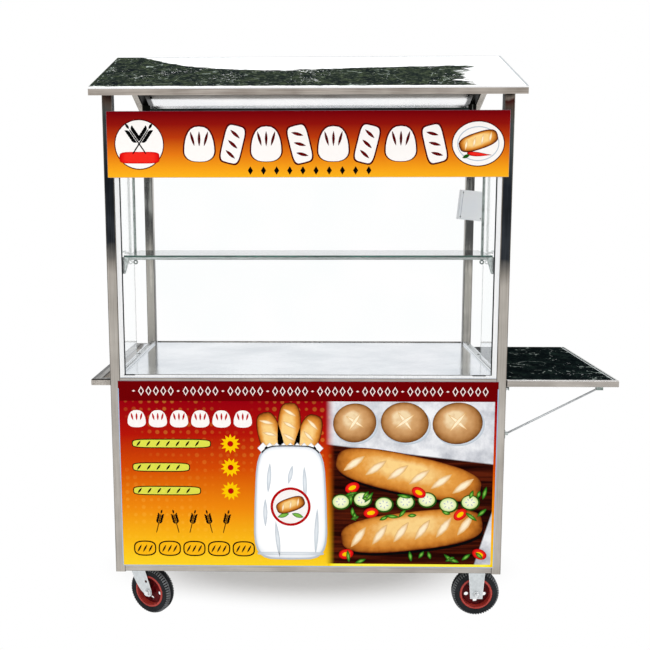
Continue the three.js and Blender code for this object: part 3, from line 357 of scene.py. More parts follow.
# %% The roof's ragged white line
ROOF_LOW, ROOF_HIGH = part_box("roof_sheet")
DARK_BEGINS = [  # share of the roof's length, share of the way down the slope
    (0.0, -0.1), (0.04, -0.06), (0.09, 0.06), (0.16, 0.24), (0.225, 0.35), (0.34, 0.45), (0.42, 0.48),
    (0.49, 0.46), (0.64, 0.4), (0.79, 0.36), (1.0, 0.33),
]
DARK_REACHES = [  # share of the way down the slope, share of the roof's length
    (0.0, 0.9), (0.35, 0.905), (0.5, 0.895), (0.7, 0.87), (0.8, 0.865), (0.87, 0.87), (0.93, 0.895),
    (1.0, 0.9),
]
DARK_ENDS = 0.985  # share of the way down the slope, just short of the eave
RIDGE_SHADE_HALF = 0.022  # half the width of the ridge's painted grey shade line, as a share of the slope
GABLE_SHADE_FROM = 0.994  # share of the roof's length from which the gable's painted grey shade line runs


def roof_bounds(tree, place, dark):
    """Painted white reflection round the dark part, and grey lines of painted shade at the folds."""
    parts = node(tree, "SeparateXYZ", {"Vector": place})
    along = node(tree, "MapRange", {
        "Value": parts.outputs["X"], "From Min": ROOF_LOW.x, "From Max": ROOF_HIGH.x,
    })
    down = node(tree, "Math", {0: parts.outputs["Y"], 1: -1 / ROOF_HIGH.y}, operation="MULTIPLY")
    curves = []
    for fed, points in ((along, DARK_BEGINS), (down, DARK_REACHES)):
        curve = node(tree, "FloatCurve", {"Value": fed})
        curve.mapping.use_clip = False
        knots = curve.mapping.curves[0].points
        knots[0].location, knots[-1].location = points[0], points[-1]
        for point in points[1:-1]:
            knots.new(*point)
        curve.mapping.update()
        curves.append(curve)
    frayed = node(tree, "Mapping", {"Vector": place, "Scale": (18, 60, 60)})
    frayed = node(tree, "TexNoise", {"Vector": frayed, "Scale": 1.0, "Detail": 6.0, "Roughness": 0.75})
    frayed = node(tree, "Math", {0: frayed, 1: 0.5}, operation="SUBTRACT")
    margins = []  # how far inside the dark part a point is, from each of its three borders
    for far, near, fray in ((down, curves[0], 0.14), (curves[1], along, 0.2), (DARK_ENDS, down, 0.1)):
        margin = node(tree, "Math", {0: far, 1: near}, operation="SUBTRACT")
        margins.append(node(tree, "Math", {0: frayed, 1: fray, 2: margin}, operation="MULTIPLY_ADD"))
    inside = node(tree, "Math", {0: margins[0], 1: margins[1]}, operation="MINIMUM")
    inside = node(tree, "Math", {0: inside, 1: margins[2]}, operation="MINIMUM")
    inside = node(tree, "MapRange", {"Value": inside, "From Max": 0.012})
    # The painted white reflection, with a faint haze.
    haze = node(tree, "TexNoise", {"Vector": place, "Scale": 5.0, "Detail": 3.0})
    white = node(tree, "ValToRGB", {"Fac": haze}, [(0.3, "#EFF1F2"), (0.6, "#FBFBFB")])
    # Painted grey shade along the ridge and the gable.
    ridge = node(tree, "Math", {0: down}, operation="ABSOLUTE")
    ridge = node(tree, "Math", {0: ridge, 1: RIDGE_SHADE_HALF}, operation="LESS_THAN")
    gable = node(tree, "Math", {0: along, 1: GABLE_SHADE_FROM}, operation="GREATER_THAN")
    fold = node(tree, "Math", {0: ridge, 1: gable}, operation="MAXIMUM")
    white = node(tree, "Mix", {0: fold, 6: white, 7: linear("#ABAFB2")}, data_type="RGBA").outputs[2]
    return node(tree, "Mix", {0: inside, 6: white, 7: dark}, data_type="RGBA").outputs[2]


# The colours of the roof's painted dark reflection.
ROOF_REFLECTION_COLOURS = [(0.3, "#10151A"), (0.48, "#1D2422"), (0.62, "#343D2E"), (0.75, "#4D5640")]
roof_painted_reflection = painted_reflection_sheet(
    "rippled roof sheet", ROOF_REFLECTION_COLOURS, "#66705A", ((80, 150, 150), 0.635), scribbles=8.0,
    bounds=roof_bounds,
)
print("roof sheet mottled between x", round(ROOF_LOW.x, 4), "and", round(ROOF_HIGH.x, 4))

# %% [markdown]
# ## Zinc plate
# Brackets, stays and caster forks are pressed steel with bright zinc plating. Its crystals give a faint
# patchwork, which a Voronoi texture draws with cells of 8 mm, larger than the real ones so that they
# show. It is duller than the polished steel. Up under the base the same plate gets a painted
# near-black shadow, and folded edges get a near-white painted highlight.

# %% Zinc plate
def zinc_plate(name, dark, light, roughness=0.36):
    """Bright plating with a faint patchwork of crystals."""
    made, tree, place = begin(name)
    crystals = node(tree, "TexVoronoi", {"Vector": place, "Scale": 120.0})
    haze = node(tree, "TexNoise", {"Vector": place, "Scale": 35.0, "Detail": 4.0})
    tone = node(tree, "Mix", {0: 0.3, 2: haze, 3: crystals.outputs["Distance"]})
    colour = node(tree, "ValToRGB", {"Fac": tone}, [(0.3, dark), (0.62, light)])
    shine = node(tree, "MapRange", {"Value": haze, "To Min": roughness - 0.08, "To Max": roughness + 0.12})
    shader = node(tree, "BsdfPrincipled", {"Base Color": colour, "Metallic": 0.9, "Roughness": shine})
    node(tree, "OutputMaterial", {"Surface": shader})
    return made


zinc = zinc_plate("bright zinc plate", "#BFC5C8", "#ECEFF0")
fork_zinc = zinc_plate("bright zinc plate of the forks", "#C9CED0", "#DADFE1", 0.4)
shelf_zinc = zinc_plate("dull zinc plate of the shelf brackets", "#98A19F", "#CDD4D2", 0.42)
shaded_zinc = zinc_plate("zinc plate in shadow", "#0B0B0C", "#1E1F20", 0.5)
stay_zinc = zinc_plate("zinc plate of the stays", "#8C9092", "#B2B5B7", 0.3)
# Folded edges: a near-white painted highlight.
bend_highlight_zinc = zinc_plate("zinc plate on bends", "#F1F3F4", "#FFFFFF", 0.3)
# Darker and greener than the plate: a painted dark reflection, for rods, rivets and small bends.
rod_zinc = zinc_plate("zinc plated rod", "#48524E", "#8C9893", 0.28)
bolt_zinc = zinc_plate("zinc plated bolts", "#A9AEB1", "#EDEFF0", 0.25)
print("zinc plates made")

# %% [markdown]
# ## Enamel, rubber and plastic
# The wheel centres are sprayed with gloss enamel over rolled steel, a darker red in the dish for its
# painted shade, and the tyres are moulded rubber, matt with a fine grain, paler on the lugs, which are
# worn and carry a painted highlight, and near black between them, a painted shade. The switch box is
# moulded ABS with a fine spark texture, and the signs' boards are foamed PVC. All are a skin of one
# colour with a little cloudiness, so one function makes them, with a speckle of 1.4 to 4 mm that also
# gives the bump.

# %% Enamel, rubber and plastic
def coated(name, deep, bright, roughness, speckle, gloss=0.5, lacquer=0.0, bump=0.05, depth=0.1):
    """A skin of paint, rubber or plastic with a grain of speckle cells per metre."""
    made, tree, place = begin(name)
    cloud = node(tree, "TexNoise", {"Vector": place, "Scale": 18.0, "Detail": 4.0})
    grain = node(tree, "TexNoise", {"Vector": place, "Scale": speckle, "Detail": 2.0})
    tone = node(tree, "Mix", {0: 0.45, 2: cloud, 3: grain})
    colour = node(tree, "ValToRGB", {"Fac": tone}, [(0.34, deep), (0.66, bright)])
    shine = node(tree, "MapRange", {"Value": tone, "To Min": roughness - 0.1, "To Max": roughness + 0.1})
    relief = node(tree, "Bump", {"Height": grain, "Strength": bump, "Distance": depth * MM})
    shader = node(tree, "BsdfPrincipled", {
        "Base Color": colour, "Roughness": shine, "Normal": relief, "Coat Weight": lacquer,
        "Specular IOR Level": gloss,
    })
    node(tree, "OutputMaterial", {"Surface": shader})
    return made


red_enamel = coated("gloss enamel ring", "#9E2A22", "#C4463C", 0.34, 260.0, gloss=0.3, lacquer=0.15)
# The dish: a darker red, a painted shade.
shaded_web_enamel = coated("gloss enamel web", "#3A0508", "#6E1418", 0.4, 260.0, gloss=0.1)
rubber = coated("moulded rubber", "#18191B", "#2E3033", 0.78, 420.0, gloss=0.12, bump=0.25, depth=0.3)
# Lugs: paler, worn and with a painted highlight.
worn_highlit_lug_rubber = coated("worn lugs", "#404244", "#85878A", 0.8, 420.0, gloss=0.1, bump=0.2, depth=0.3)
# Between the lugs: near black, a painted shade.
groove_shade_rubber = coated("rubber between the lugs", "#020202", "#0A0A0B", 0.9, 420.0, gloss=0.0)
abs_plastic = coated("moulded ABS", "#F4F8FD", "#FFFFFF", 0.52, 700.0, gloss=0.2, bump=0.12)
board_edge = coated("foamed PVC board edge", "#7E8799", "#9AA3B2", 0.6, 300.0, gloss=0.2)
gasket = coated("black rubber packing", "#17181A", "#2B2D30", 0.7, 400.0, gloss=0.05)
print("enamel, rubber and plastic made")

# %% [markdown]
# ## Float glass
# Glass is poured on molten tin, so its faces are flat and clear. Looking through a face gives almost no
# colour, but along the cut edge the light has crossed a hand's breadth of it, and iron turns it deep
# green. Tracing that depth is slow and noisy, so the edges have a green finish of their own. The shelf
# is seen almost edge on, through more glass, and its clear faces are grey.

# %% Float glass
def glazing(name, colour, **values):
    """Glass with a body colour that hardly varies, as from the slow waves of the float bath."""
    made, tree, place = begin(name)
    wave = node(tree, "TexNoise", {"Vector": place, "Scale": 6.0, "Detail": 1.0})
    tint = node(tree, "ValToRGB", {"Fac": wave}, [(0.3, colour[0]), (0.7, colour[1])])
    shader = node(tree, "BsdfPrincipled", {"Base Color": tint, **values})
    node(tree, "OutputMaterial", {"Surface": shader})
    return made


clear_glass = glazing("float glass", ("#FCFEFE", "#FFFFFF"), Roughness=0.0, IOR=1.45, **{
    "Transmission Weight": 1.0,
})
shelf_clear = glazing("float glass of the shelf", ("#9FA5AA", "#AEB4B8"), Roughness=0.0, IOR=1.45, **{
    "Transmission Weight": 1.0,
})
cut_edge = glazing("cut edge of float glass", ("#0A3D30", "#27685A"), Roughness=0.3, **{
    "Specular IOR Level": 0.1,
})
print("glass made, IOR", clear_glass.node_tree.nodes["Principled BSDF"].inputs["IOR"].default_value)

# %% [markdown]
# ## Printed boards
# Both signs are solvent prints on foamed PVC board under a satin film, which hardly shines. Their
# ground runs from deep red at the top to amber at the bottom, which a colour ramp over height gives.
# What stands on them is this script's own plain design of buns, loaves, wheat, cucumber and chilli.

# %% Printed grounds and inks
FILM_GLOSS = 0.01  # a satin film under soft light has next to no highlight


def printed_ground(name, low, high, stops, more=None):
    """A vertical blend from low to high; more lays further print on it."""
    made, tree, place = begin(name)
    parts = node(tree, "SeparateXYZ", {"Vector": place})
    rise = node(tree, "MapRange", {"Value": parts.outputs["Z"], "From Min": low, "From Max": high})
    colour = node(tree, "ValToRGB", {"Fac": rise}, stops).outputs["Color"]
    if more:
        colour = more(tree, place, colour)
    film = node(tree, "TexNoise", {"Vector": place, "Scale": 60.0, "Detail": 3.0})
    shine = node(tree, "MapRange", {"Value": film, "To Min": 0.44, "To Max": 0.6})
    shader = node(tree, "BsdfPrincipled", {
        "Base Color": colour, "Roughness": shine, "Specular IOR Level": FILM_GLOSS,
    })
    node(tree, "OutputMaterial", {"Surface": shader})
    return made


def ink(name, stops, grain=0.1, scale=90.0):
    """Printed colour: from a shape's rim (tone 0) to its middle (tone 1), with a little unevenness."""
    made, tree, place = begin(name)
    tone = node(tree, "Attribute", attribute_name="tone").outputs["Fac"]
    mottle = node(tree, "TexNoise", {"Vector": place, "Scale": scale, "Detail": 3.0})
    swing = node(tree, "MapRange", {"Value": mottle, "To Min": -grain, "To Max": grain})
    mixed = node(tree, "Math", {0: tone, 1: swing}, operation="ADD")
    colour = node(tree, "ValToRGB", {"Fac": mixed}, stops)
    shader = node(tree, "BsdfPrincipled", {
        "Base Color": colour, "Roughness": 0.5, "Specular IOR Level": FILM_GLOSS,
    })
    node(tree, "OutputMaterial", {"Surface": shader})
    return made


BANNER_LOW, BANNER_HIGH = (corner.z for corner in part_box("banner_board"))
banner_ground = printed_ground("banner print", BANNER_LOW, BANNER_HIGH, [
    (0.0, "#EFAC1B"), (0.12, "#EC9C18"), (0.35, "#DA7312"), (0.6, "#B0360B"), (0.8, "#8B120B"),
    (1.0, "#76010B"),
])
print("banner ground between heights", round(BANNER_LOW, 4), "and", round(BANNER_HIGH, 4))

# %% [markdown]
# The inks on top are flat colours with a slight mottle, except for bread and paper, which shade from
# the rim of each shape to its middle. They read that from a value called tone on the mesh, which the
# stamp further down writes, so one ink can draw a dark crust and a pale crown in the same shape.

# %% Inks
WHITE = ink("white ink", [(0.0, "#F1EDEA"), (0.5, "#FFFFFF")])
OUTLINE = ink("dark red ink", [(0.0, "#4A0408"), (1.0, "#5E0A0C")])
BLACK = ink("black ink", [(0.0, "#060607"), (1.0, "#141416")])
ROSE = ink("pale rose ink", [(0.0, "#F0DEDA"), (1.0, "#FBF0EE")])
YELLOW = ink("yellow ink", [(0.0, "#F2C200"), (0.4, "#FFE81A"), (1.0, "#FFF04A")])
LIME = ink("lime ink", [(0.0, "#D6D84A"), (0.6, "#F3F08A"), (1.0, "#FBF7B0")])
SCARLET = ink("scarlet ink", [(0.0, "#B0060A"), (0.5, "#D8100E"), (1.0, "#E8281E")])
CRUST = ink("baked crust print", [
    (0.0, "#5E2B0C"), (0.2, "#9A561A"), (0.45, "#C87C2C"), (0.7, "#DE9A45"), (1.0, "#F3CD86"),
], 0.18, 55.0)
TAN = ink("floured crust print", [
    (0.0, "#5A3413"), (0.25, "#8F5E30"), (0.5, "#B27F4C"), (0.8, "#CFA06C"), (1.0, "#EBD2A8"),
], 0.2, 40.0)
CRUMB = ink("pale crumb print", [(0.0, "#D9A862"), (1.0, "#FBE9C8")], 0.2)
GREEN = ink("leaf green print", [(0.0, "#1A4E12"), (0.5, "#3A8420"), (1.0, "#7DB548")], 0.2)
CUCUMBER = ink("cucumber print", [(0.0, "#B5CC7C"), (0.5, "#DCE8AE"), (1.0, "#F1F4D2")], 0.14)
PAPER = ink("white paper print", [
    (0.0, "#B4BCC6"), (0.2, "#DDE2E8"), (0.5, "#F4F6F8"), (1.0, "#FFFFFF"),
], 0.06, 20.0)
SHADE = ink("grey fold print", [(0.0, "#B4BEC8"), (1.0, "#DDE3E8")])
SKY = ink("pale blue print", [(0.0, "#9FB9DA"), (1.0, "#B7CBE4")])
AMBER = ink("amber print", [(0.0, "#F5B414"), (1.0, "#FFD93A")])
INKS = [
    WHITE, OUTLINE, BLACK, ROSE, YELLOW, LIME, SCARLET, CRUST, TAN, CRUMB, GREEN, CUCUMBER, PAPER, SHADE,
    SKY, AMBER,
]
print(len(INKS), "inks for the signs")

# %% [markdown]
# The lower sign has more in its ground: a dark strip along the top, drifting rows of pale halftone
# discs 24 mm apart, from a square Voronoi grid whose strength a slow noise sets, and the table top of
# the picture at its right, which is a dark wooden board on veined marble. Its left edge is a soft
# blend, so it belongs in the ground and isn't a shape laid on it.

# %% The lower sign's ground
SIGN_LOW, SIGN_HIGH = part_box("front_sign_panel")
SIGN_MIDDLE = (SIGN_LOW + SIGN_HIGH) / 2
HEADER_HEIGHT = 62 * MM
HEADER_FROM = SIGN_HIGH.z - HEADER_HEIGHT
PICTURE = (70, 567, -284, 233)  # its left, right, lower and upper ends from the sign's middle, in mm
PICTURE_BLEND = 16  # half the width of its soft left edge, in mm
DISC_SPACING = 24 * MM


def sign_details(tree, place, colour):
    """Halftone discs, the picture's board and marble, and the dark strip, over the sign's blend."""
    grid = node(tree, "TexVoronoi", {"Vector": place, "Scale": 1 / DISC_SPACING, "Randomness": 0.12})
    disc = node(tree, "MapRange", {"Value": grid.outputs["Distance"], "From Min": 0.44, "From Max": 0.38})
    drift = node(tree, "TexNoise", {"Vector": place, "Scale": 3.2, "Detail": 1.0})
    share = node(tree, "MapRange", {"Value": drift, "From Min": 0.42, "From Max": 0.64, "To Max": 0.2})
    amount = node(tree, "Math", {0: disc, 1: share}, operation="MULTIPLY")
    colour = node(tree, "Mix", {0: amount, 6: colour, 7: linear("#FFC94A")}, data_type="RGBA").outputs[2]

    local = node(tree, "Mapping", {"Vector": place, "Location": -SIGN_MIDDLE})
    parts = node(tree, "SeparateXYZ", {"Vector": local})
    clouds = node(tree, "TexNoise", {"Vector": local, "Scale": 9.0, "Detail": 8.0, "Roughness": 0.65})
    marble = node(tree, "ValToRGB", {"Fac": clouds}, [
        (0.34, "#A9ADB6"), (0.5, "#D3D5DA"), (0.6, "#E9EAED"),
    ])
    turned = node(tree, "Mapping", {
        "Vector": local, "Rotation": (0, math.radians(7), 0), "Scale": (3, 1, 70),
    })
    rings = node(tree, "TexNoise", {"Vector": turned, "Scale": 1.0, "Detail": 5.0, "Distortion": 0.6})
    wood = node(tree, "ValToRGB", {"Fac": rings}, [(0.34, "#140302"), (0.5, "#330C05"), (0.66, "#571D0B")])
    sides = []  # the board's upper and right sides are slanting lines, 4 mm soft
    for across, reach in (((0.12, 0, 1), 0.104), ((1, 0, -0.3), 0.6)):
        out = node(tree, "VectorMath", {0: local, 1: across}, operation="DOT_PRODUCT").outputs["Value"]
        sides.append(node(tree, "MapRange", {"Value": out, "From Min": reach + 4 * MM, "From Max": reach}))
    on_board = node(tree, "Math", {0: sides[0], 1: sides[1]}, operation="MULTIPLY")
    picture = node(tree, "Mix", {0: on_board, 6: marble, 7: wood}, data_type="RGBA").outputs[2]
    left_end, right_end, low_end, high_end = (value * MM for value in PICTURE)
    blend = PICTURE_BLEND * MM
    inside = node(tree, "MapRange", {
        "Value": parts.outputs["X"], "From Min": left_end - blend, "From Max": left_end + blend,
    }, interpolation_type="SMOOTHSTEP")
    for axis, value, test in (("X", right_end, "LESS_THAN"), ("Z", low_end, "GREATER_THAN")):
        within = node(tree, "Math", {0: parts.outputs[axis], 1: value}, operation=test)
        inside = node(tree, "Math", {0: inside, 1: within}, operation="MULTIPLY")
    colour = node(tree, "Mix", {0: inside, 6: colour, 7: picture}, data_type="RGBA").outputs[2]
    strip = node(tree, "Math", {0: parts.outputs["Z"], 1: high_end}, operation="GREATER_THAN")
    return node(tree, "Mix", {0: strip, 6: colour, 7: linear("#6A0003")}, data_type="RGBA").outputs[2]


sign_ground = printed_ground("sign print", SIGN_LOW.z, HEADER_FROM, [
    (0.0, "#F7D126"), (0.14, "#F4B718"), (0.36, "#E7840C"), (0.6, "#CB4704"), (0.8, "#AC1307"),
    (1.0, "#8F000D"),
], sign_details)
print("sign ground between", SIGN_LOW.z, "and", SIGN_HIGH.z)

# %% [markdown]
# ## From solid to finished piece
# A CAD solid has knife-sharp edges. A folded or drawn part never does: its bends are rounded, and that
# thin rounding catches the light and tells the eye that the part is sheet or tube. So each solid is
# copied, its loose triangles are welded and merged into flat faces, and its long outer edges get a
# small bevel. The copy then stands for the solid, and rides on the same body.

# %% Helpers for pieces
def piece_from(bm, name, finishes, body, stands_for=(), crease=32):
    """Turns a bmesh into a piece on a CAD body, smooth except where faces meet at more than crease."""
    mesh = bpy.data.meshes.new(name)
    bm.to_mesh(mesh)
    bm.free()
    for finish in finishes:
        mesh.materials.append(finish)
    mesh.polygons.foreach_set("use_smooth", [True] * len(mesh.polygons))
    mesh.set_sharp_from_angle(angle=math.radians(crease))
    piece = bpy.data.objects.new(name, mesh)
    bpy.context.scene.collection.objects.link(piece)
    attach(piece, body)
    if stands_for:
        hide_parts(*stands_for)
    return piece


def merged_copy(name, join=True):
    """The solid's triangles, welded and joined into flat faces."""
    bm = bmesh.new()
    bm.from_mesh(CAD[name].data)
    bmesh.ops.remove_doubles(bm, verts=bm.verts, dist=0.02 * MM)
    if join:
        bmesh.ops.dissolve_limit(bm, angle_limit=math.radians(0.5), verts=bm.verts, edges=bm.edges)
    return bm


def soften(bm, width, least, segments=2):
    """Rounds the outer edges that are at least so long, and returns the new faces."""
    edges = [
        edge for edge in bm.edges
        if edge.is_manifold and edge.is_convex and edge.calc_length() >= least
        and edge.calc_face_angle() > math.radians(40)
    ]
    return bmesh.ops.bevel(
        bm, geom=edges, offset=width, offset_type="OFFSET", affect="EDGES", segments=segments,
        profile=0.5, material=-1, clamp_overlap=True,
    )["faces"]


print("welded copy of the counter:", len(merged_copy("counter_top").faces), "faces")

# %% [markdown]
# One function then does the whole step for a solid. Each piece says with a small function of its own
# which face takes which finish, because one solid often shows belt marks in two directions, bright
# bends and a shaded side. Weighted normals keep the broad faces flat beside their rounded edges.

# %% A finished copy of a solid
def finished(name, finishes, width=1.2 * MM, least=60 * MM, choose=None, segments=2, crease=32, join=True,
             cuts=(), edging=0.0):
    """A softened copy that stands for a solid. choose gives each face the number of its finish, and is
    told whether the face is a rounded edge. cuts are places along Y where flat faces are parted, and
    edging is the width of a strip round the top faces that counts as rounded too."""
    bm = merged_copy(name, join)
    for y in cuts:
        bmesh.ops.bisect_plane(bm, geom=bm.verts[:] + bm.edges[:] + bm.faces[:], dist=0.01 * MM,
                               plane_co=(0, y, 0), plane_no=(0, 1, 0))
    rounded = set(soften(bm, width, least, segments)) if width else set()
    if edging:
        tops = [face for face in bm.faces if face.normal.z > 0.99 and face not in rounded]
        rounded.update(bmesh.ops.inset_region(bm, faces=tops, thickness=edging, use_boundary=True)["faces"])
    for face in bm.faces:
        face.material_index = choose(face, face in rounded) if choose else 0
    piece = piece_from(bm, name + "_finished", finishes, BODY_OF[name], [name], crease)
    if rounded:
        flat = piece.modifiers.new("broad faces stay flat", "WEIGHTED_NORMAL")
        flat.keep_sharp = True
    return piece


def bends_apart(face, rounded):
    """The second finish for rounded edges, the first for the rest."""
    return 1 if rounded else 0


def front_apart(face, rounded):
    """The second finish for all but the face that looks to the front."""
    return 0 if face.normal.y < -0.9 else 1


print("ready to finish", len(CAD), "solids")

# %% [markdown]
# Small trim that the solids leave out is made from two more helpers. A cube with its edges beveled
# stands for a folded strip or a pad, and a sphere pressed flat along one axis for the head of a screw,
# bolt or rivet. Both take a matrix or corners in the cart's own axes, so each object stays at the origin.

# %% Helpers for small trim
def edged_box(bm, low, high, rounding, turn=None, segments=1):
    """A block between two corners, with rounded edges."""
    middle, size = (low + high) / 2, high - low
    made = bmesh.ops.create_cube(bm, size=1.0, matrix=(turn or Matrix.Identity(4)) @ Matrix.Translation(
        middle) @ Matrix.Diagonal((*size, 1)))["verts"]
    bmesh.ops.bevel(
        bm, geom=list(dict.fromkeys(edge for vert in made for edge in vert.link_edges)), offset=rounding,
        offset_type="OFFSET", affect="EDGES", segments=segments, profile=0.5, material=-1,
    )


def domed_head(bm, place, radius, flattened):
    """A flattened ball; flattened gives its share of the radius along x, y and z."""
    bmesh.ops.create_uvsphere(
        bm, u_segments=12, v_segments=6, radius=radius, matrix=place @ Matrix.Diagonal((*flattened, 1)),
    )


print("helpers ready for strips and heads")

# %% [markdown]
# ## The welded body
# Each end of the body is one welded frame of two posts and three arms, in 30 mm tube with 1.5 mm
# walls. Belt marks run along the posts and across the arms, so each face takes the finish of the tube
# that it belongs to. Where posts and arms share one flat face, it is cut in two at the inner sides of
# the posts. A face is then known by its place and by the way it looks: front or rear post with painted
# reflections, inner side in painted shade, arm, the top of the counter's arm, the sides of the top arm
# in painted deep shadow, or a rounded corner, which mirrors the dark sides of the room as a painted
# dark line.

# %% Side frames and rails
POST_INNER = 270 * MM  # how far the inner sides of the posts are from the middle, along Y
TOP_ARM_FROM = 1.5
TUBE_CORNER = 2.0 * MM
COUNTER_LOW, COUNTER_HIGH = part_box("counter_top")
MIDDLE_X = (COUNTER_LOW.x + COUNTER_HIGH.x) / 2
FRAME_STEELS = [
    front_post_reflection_steel, rear_post_reflection_steel, arm_steel, bend_dark_reflection_steel, dark_bend_steel, inner_shade_steel, counter_steel,
    black_steel, rear_inner_shade_steel,
]
FRONT_POST, REAR_POST, ARM, BEND, REAR_BEND, FRONT_INNER, COUNTER_ARM, SHADED_ARM, REAR_INNER = range(9)


def looks_inward(face):
    """Whether a face looks along X towards the middle of the cart."""
    return face.normal.x * math.copysign(1, MIDDLE_X - face.calc_center_median().x) > 0.7


def side_frame_finish(face, rounded):
    """Which of the frame's steels a face takes."""
    middle = face.calc_center_median()
    inner_side = POST_INNER - 0.1 * MM
    if rounded:
        return REAR_BEND if middle.y > inner_side else BEND
    if abs(middle.y) < inner_side:
        if middle.z > TOP_ARM_FROM and (looks_inward(face) or face.normal.z < -0.5):
            return SHADED_ARM
        return COUNTER_ARM if face.normal.z > 0.7 and middle.z < COUNTER_HIGH.z + 5 * MM else ARM
    if middle.y < 0:
        return FRONT_INNER if looks_inward(face) else FRONT_POST
    return REAR_INNER if looks_inward(face) else REAR_POST


def rear_top_finish(face, rounded):
    """The rear top rail gets a painted dark reflection towards the front, where it mirrors the case."""
    return 1 if rounded or face.normal.y < -0.7 else 0


for side in ("left", "right"):
    finished(side + "_side_frame", FRAME_STEELS, width=TUBE_CORNER, choose=side_frame_finish, segments=3,
             cuts=(-POST_INNER, POST_INNER))
    finished(side + "_side_panel", [door_steel], width=0.3 * MM)
for name in ("front_counter_rail", "rear_counter_rail", "front_top_rail", "base_frame"):
    finished(name, [rail_steel, bend_dark_reflection_steel], width=1.6 * MM, choose=bends_apart)
finished("rear_top_rail", [rail_steel, dark_steel], choose=rear_top_finish)
finished("counter_top", [counter_steel], width=0.3 * MM)
finished("floor_plate", [sheet_steel], width=0.3 * MM)
print("body dressed")

# %% [markdown]
# The counter sheet is turned up along its rear edge, which stops things from sliding off, and takes the
# bends' painted dark reflection, so it shows as a thin dark line. It is a plain strip between the rear
# posts, so a block with rounded edges does it.

# %% Fold at the rear of the counter
FOLD_HEIGHT, FOLD_THICKNESS = 3 * MM, 1.5 * MM
BESIDE_POST = 31 * MM  # a 30 mm tube and a narrow gap
fold_half = (COUNTER_HIGH.x - COUNTER_LOW.x) / 2 - BESIDE_POST
fold_back = COUNTER_HIGH.y - FOLD_THICKNESS / 2
bm = bmesh.new()
edged_box(bm, Vector((MIDDLE_X - fold_half, fold_back - FOLD_THICKNESS, COUNTER_HIGH.z)),
          Vector((MIDDLE_X + fold_half, fold_back, COUNTER_HIGH.z + FOLD_HEIGHT)), 0.4 * MM, segments=2)
piece_from(bm, "counter_rear_fold", [bend_dark_reflection_steel], "cart")
print("counter fold", round(2 * fold_half, 3), "long")

# %% [markdown]
# ## Doors at the rear
# Each door is a shallow pan folded from 1.2 mm sheet, on a piano hinge: a long barrel of short
# knuckles, one after the other, on a single pin. The CAD solid has the barrel as one rod, so a new
# piece takes its place, with a flat leaf and a short cylinder for each knuckle. Each is 30 mm long, with
# a hair of a gap to the next, in which the thinner pin shows.

# %% Doors, hinges and pulls
KNUCKLE = 30 * MM
KNUCKLE_GAP = 0.8 * MM
HINGE_RADIUS = 3.5 * MM
PIN_SHARE = 0.6  # the pin's radius as a share of the barrel's
DOOR_LEAF = 1.0 * MM


def barrel(bm, start, end, radius, sides=14):
    """A hinge barrel of knuckles from start to end."""
    run = end - start
    count = max(1, round(run.length / KNUCKLE))
    step = run / count
    turn = run.to_track_quat("Z", "Y").to_matrix().to_4x4()
    for i in range(count):
        middle = start + step * (i + 0.5)
        made = bmesh.ops.create_cone(
            bm, cap_ends=True, segments=sides, radius1=radius, radius2=radius,
            depth=step.length - KNUCKLE_GAP, matrix=Matrix.Translation(middle) @ turn,
        )["verts"]
        around = dict.fromkeys(edge for vert in made for edge in vert.link_edges)
        rims = [edge for edge in around if any(len(face.verts) > 4 for face in edge.link_faces)]
        bmesh.ops.bevel(
            bm, geom=rims, offset=0.5 * MM, offset_type="OFFSET", affect="EDGES", segments=1, profile=0.5,
            material=-1,
        )
    bmesh.ops.create_cone(
        bm, cap_ends=True, segments=sides, radius1=radius * PIN_SHARE, radius2=radius * PIN_SHARE,
        depth=run.length - KNUCKLE_GAP, matrix=Matrix.Translation((start + end) / 2) @ turn,
    )


for side, sign in (("left", -1), ("right", 1)):
    finished(side + "_door", [door_steel, bend_dark_reflection_steel], width=1.0 * MM, least=100 * MM, choose=bends_apart)
    low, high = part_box(side + "_door_hinge")
    leaf_x = low.x if sign < 0 else high.x
    bm = bmesh.new()
    leaf = sorted((leaf_x, leaf_x - sign * DOOR_LEAF))
    edged_box(bm, Vector((leaf[0], low.y, low.z)),
              Vector((leaf[1], high.y - 2 * HINGE_RADIUS, high.z)), 0.2 * MM)
    pin = Vector((leaf_x - sign * 1.3 * MM, high.y - HINGE_RADIUS, low.z))
    barrel(bm, pin, Vector((pin.x, pin.y, high.z)), HINGE_RADIUS)
    piece_from(bm, side + "_door_hinge_finished", [zinc], "cart", [side + "_door_hinge"])
    finished(side + "_door_pull", [pull_steel], width=3.0 * MM, least=9 * MM, segments=4, crease=50)
print("doors dressed")

# %% [markdown]
# ## Glass
# The panes are copies with two finishes: the two broad faces are clear, and the narrow cut faces are
# green. The broad faces are found by their area. Ground edges are hardly rounded, so the bevel is
# 0.4 mm of one segment.

# %% Panes
PANE_AREA = 0.05  # a broad face has more square metres than this


def pane_finish(face, rounded):
    """Clear for a broad face, green for a cut one."""
    return 0 if face.calc_area() > PANE_AREA else 1


for name in ("front_glass", "left_side_pane", "right_side_pane", "shelf_glass"):
    body_glass = shelf_clear if name == "shelf_glass" else clear_glass
    finished(name, [body_glass, cut_edge], width=0.4 * MM, least=100 * MM, choose=pane_finish, segments=1)
print("panes cut")

# %% [markdown]
# ## Channels and shelf
# The glass stands in drawn aluminium channels. A drawn section has tight corners, rounded by half a
# millimetre here. The drawing lines run along each leg, so the sill of the front channel and its two
# uprights take different finishes, told apart by height. The rounded corner of a side channel that
# faces the case takes black rubber's finish, a painted dark reflection of the case, and the shelf hangs
# on brackets and bent rods in zinc plate.

# %% Channels and shelf
SILL_TOP = 0.81  # the front channel's sill lies below this height, its uprights above


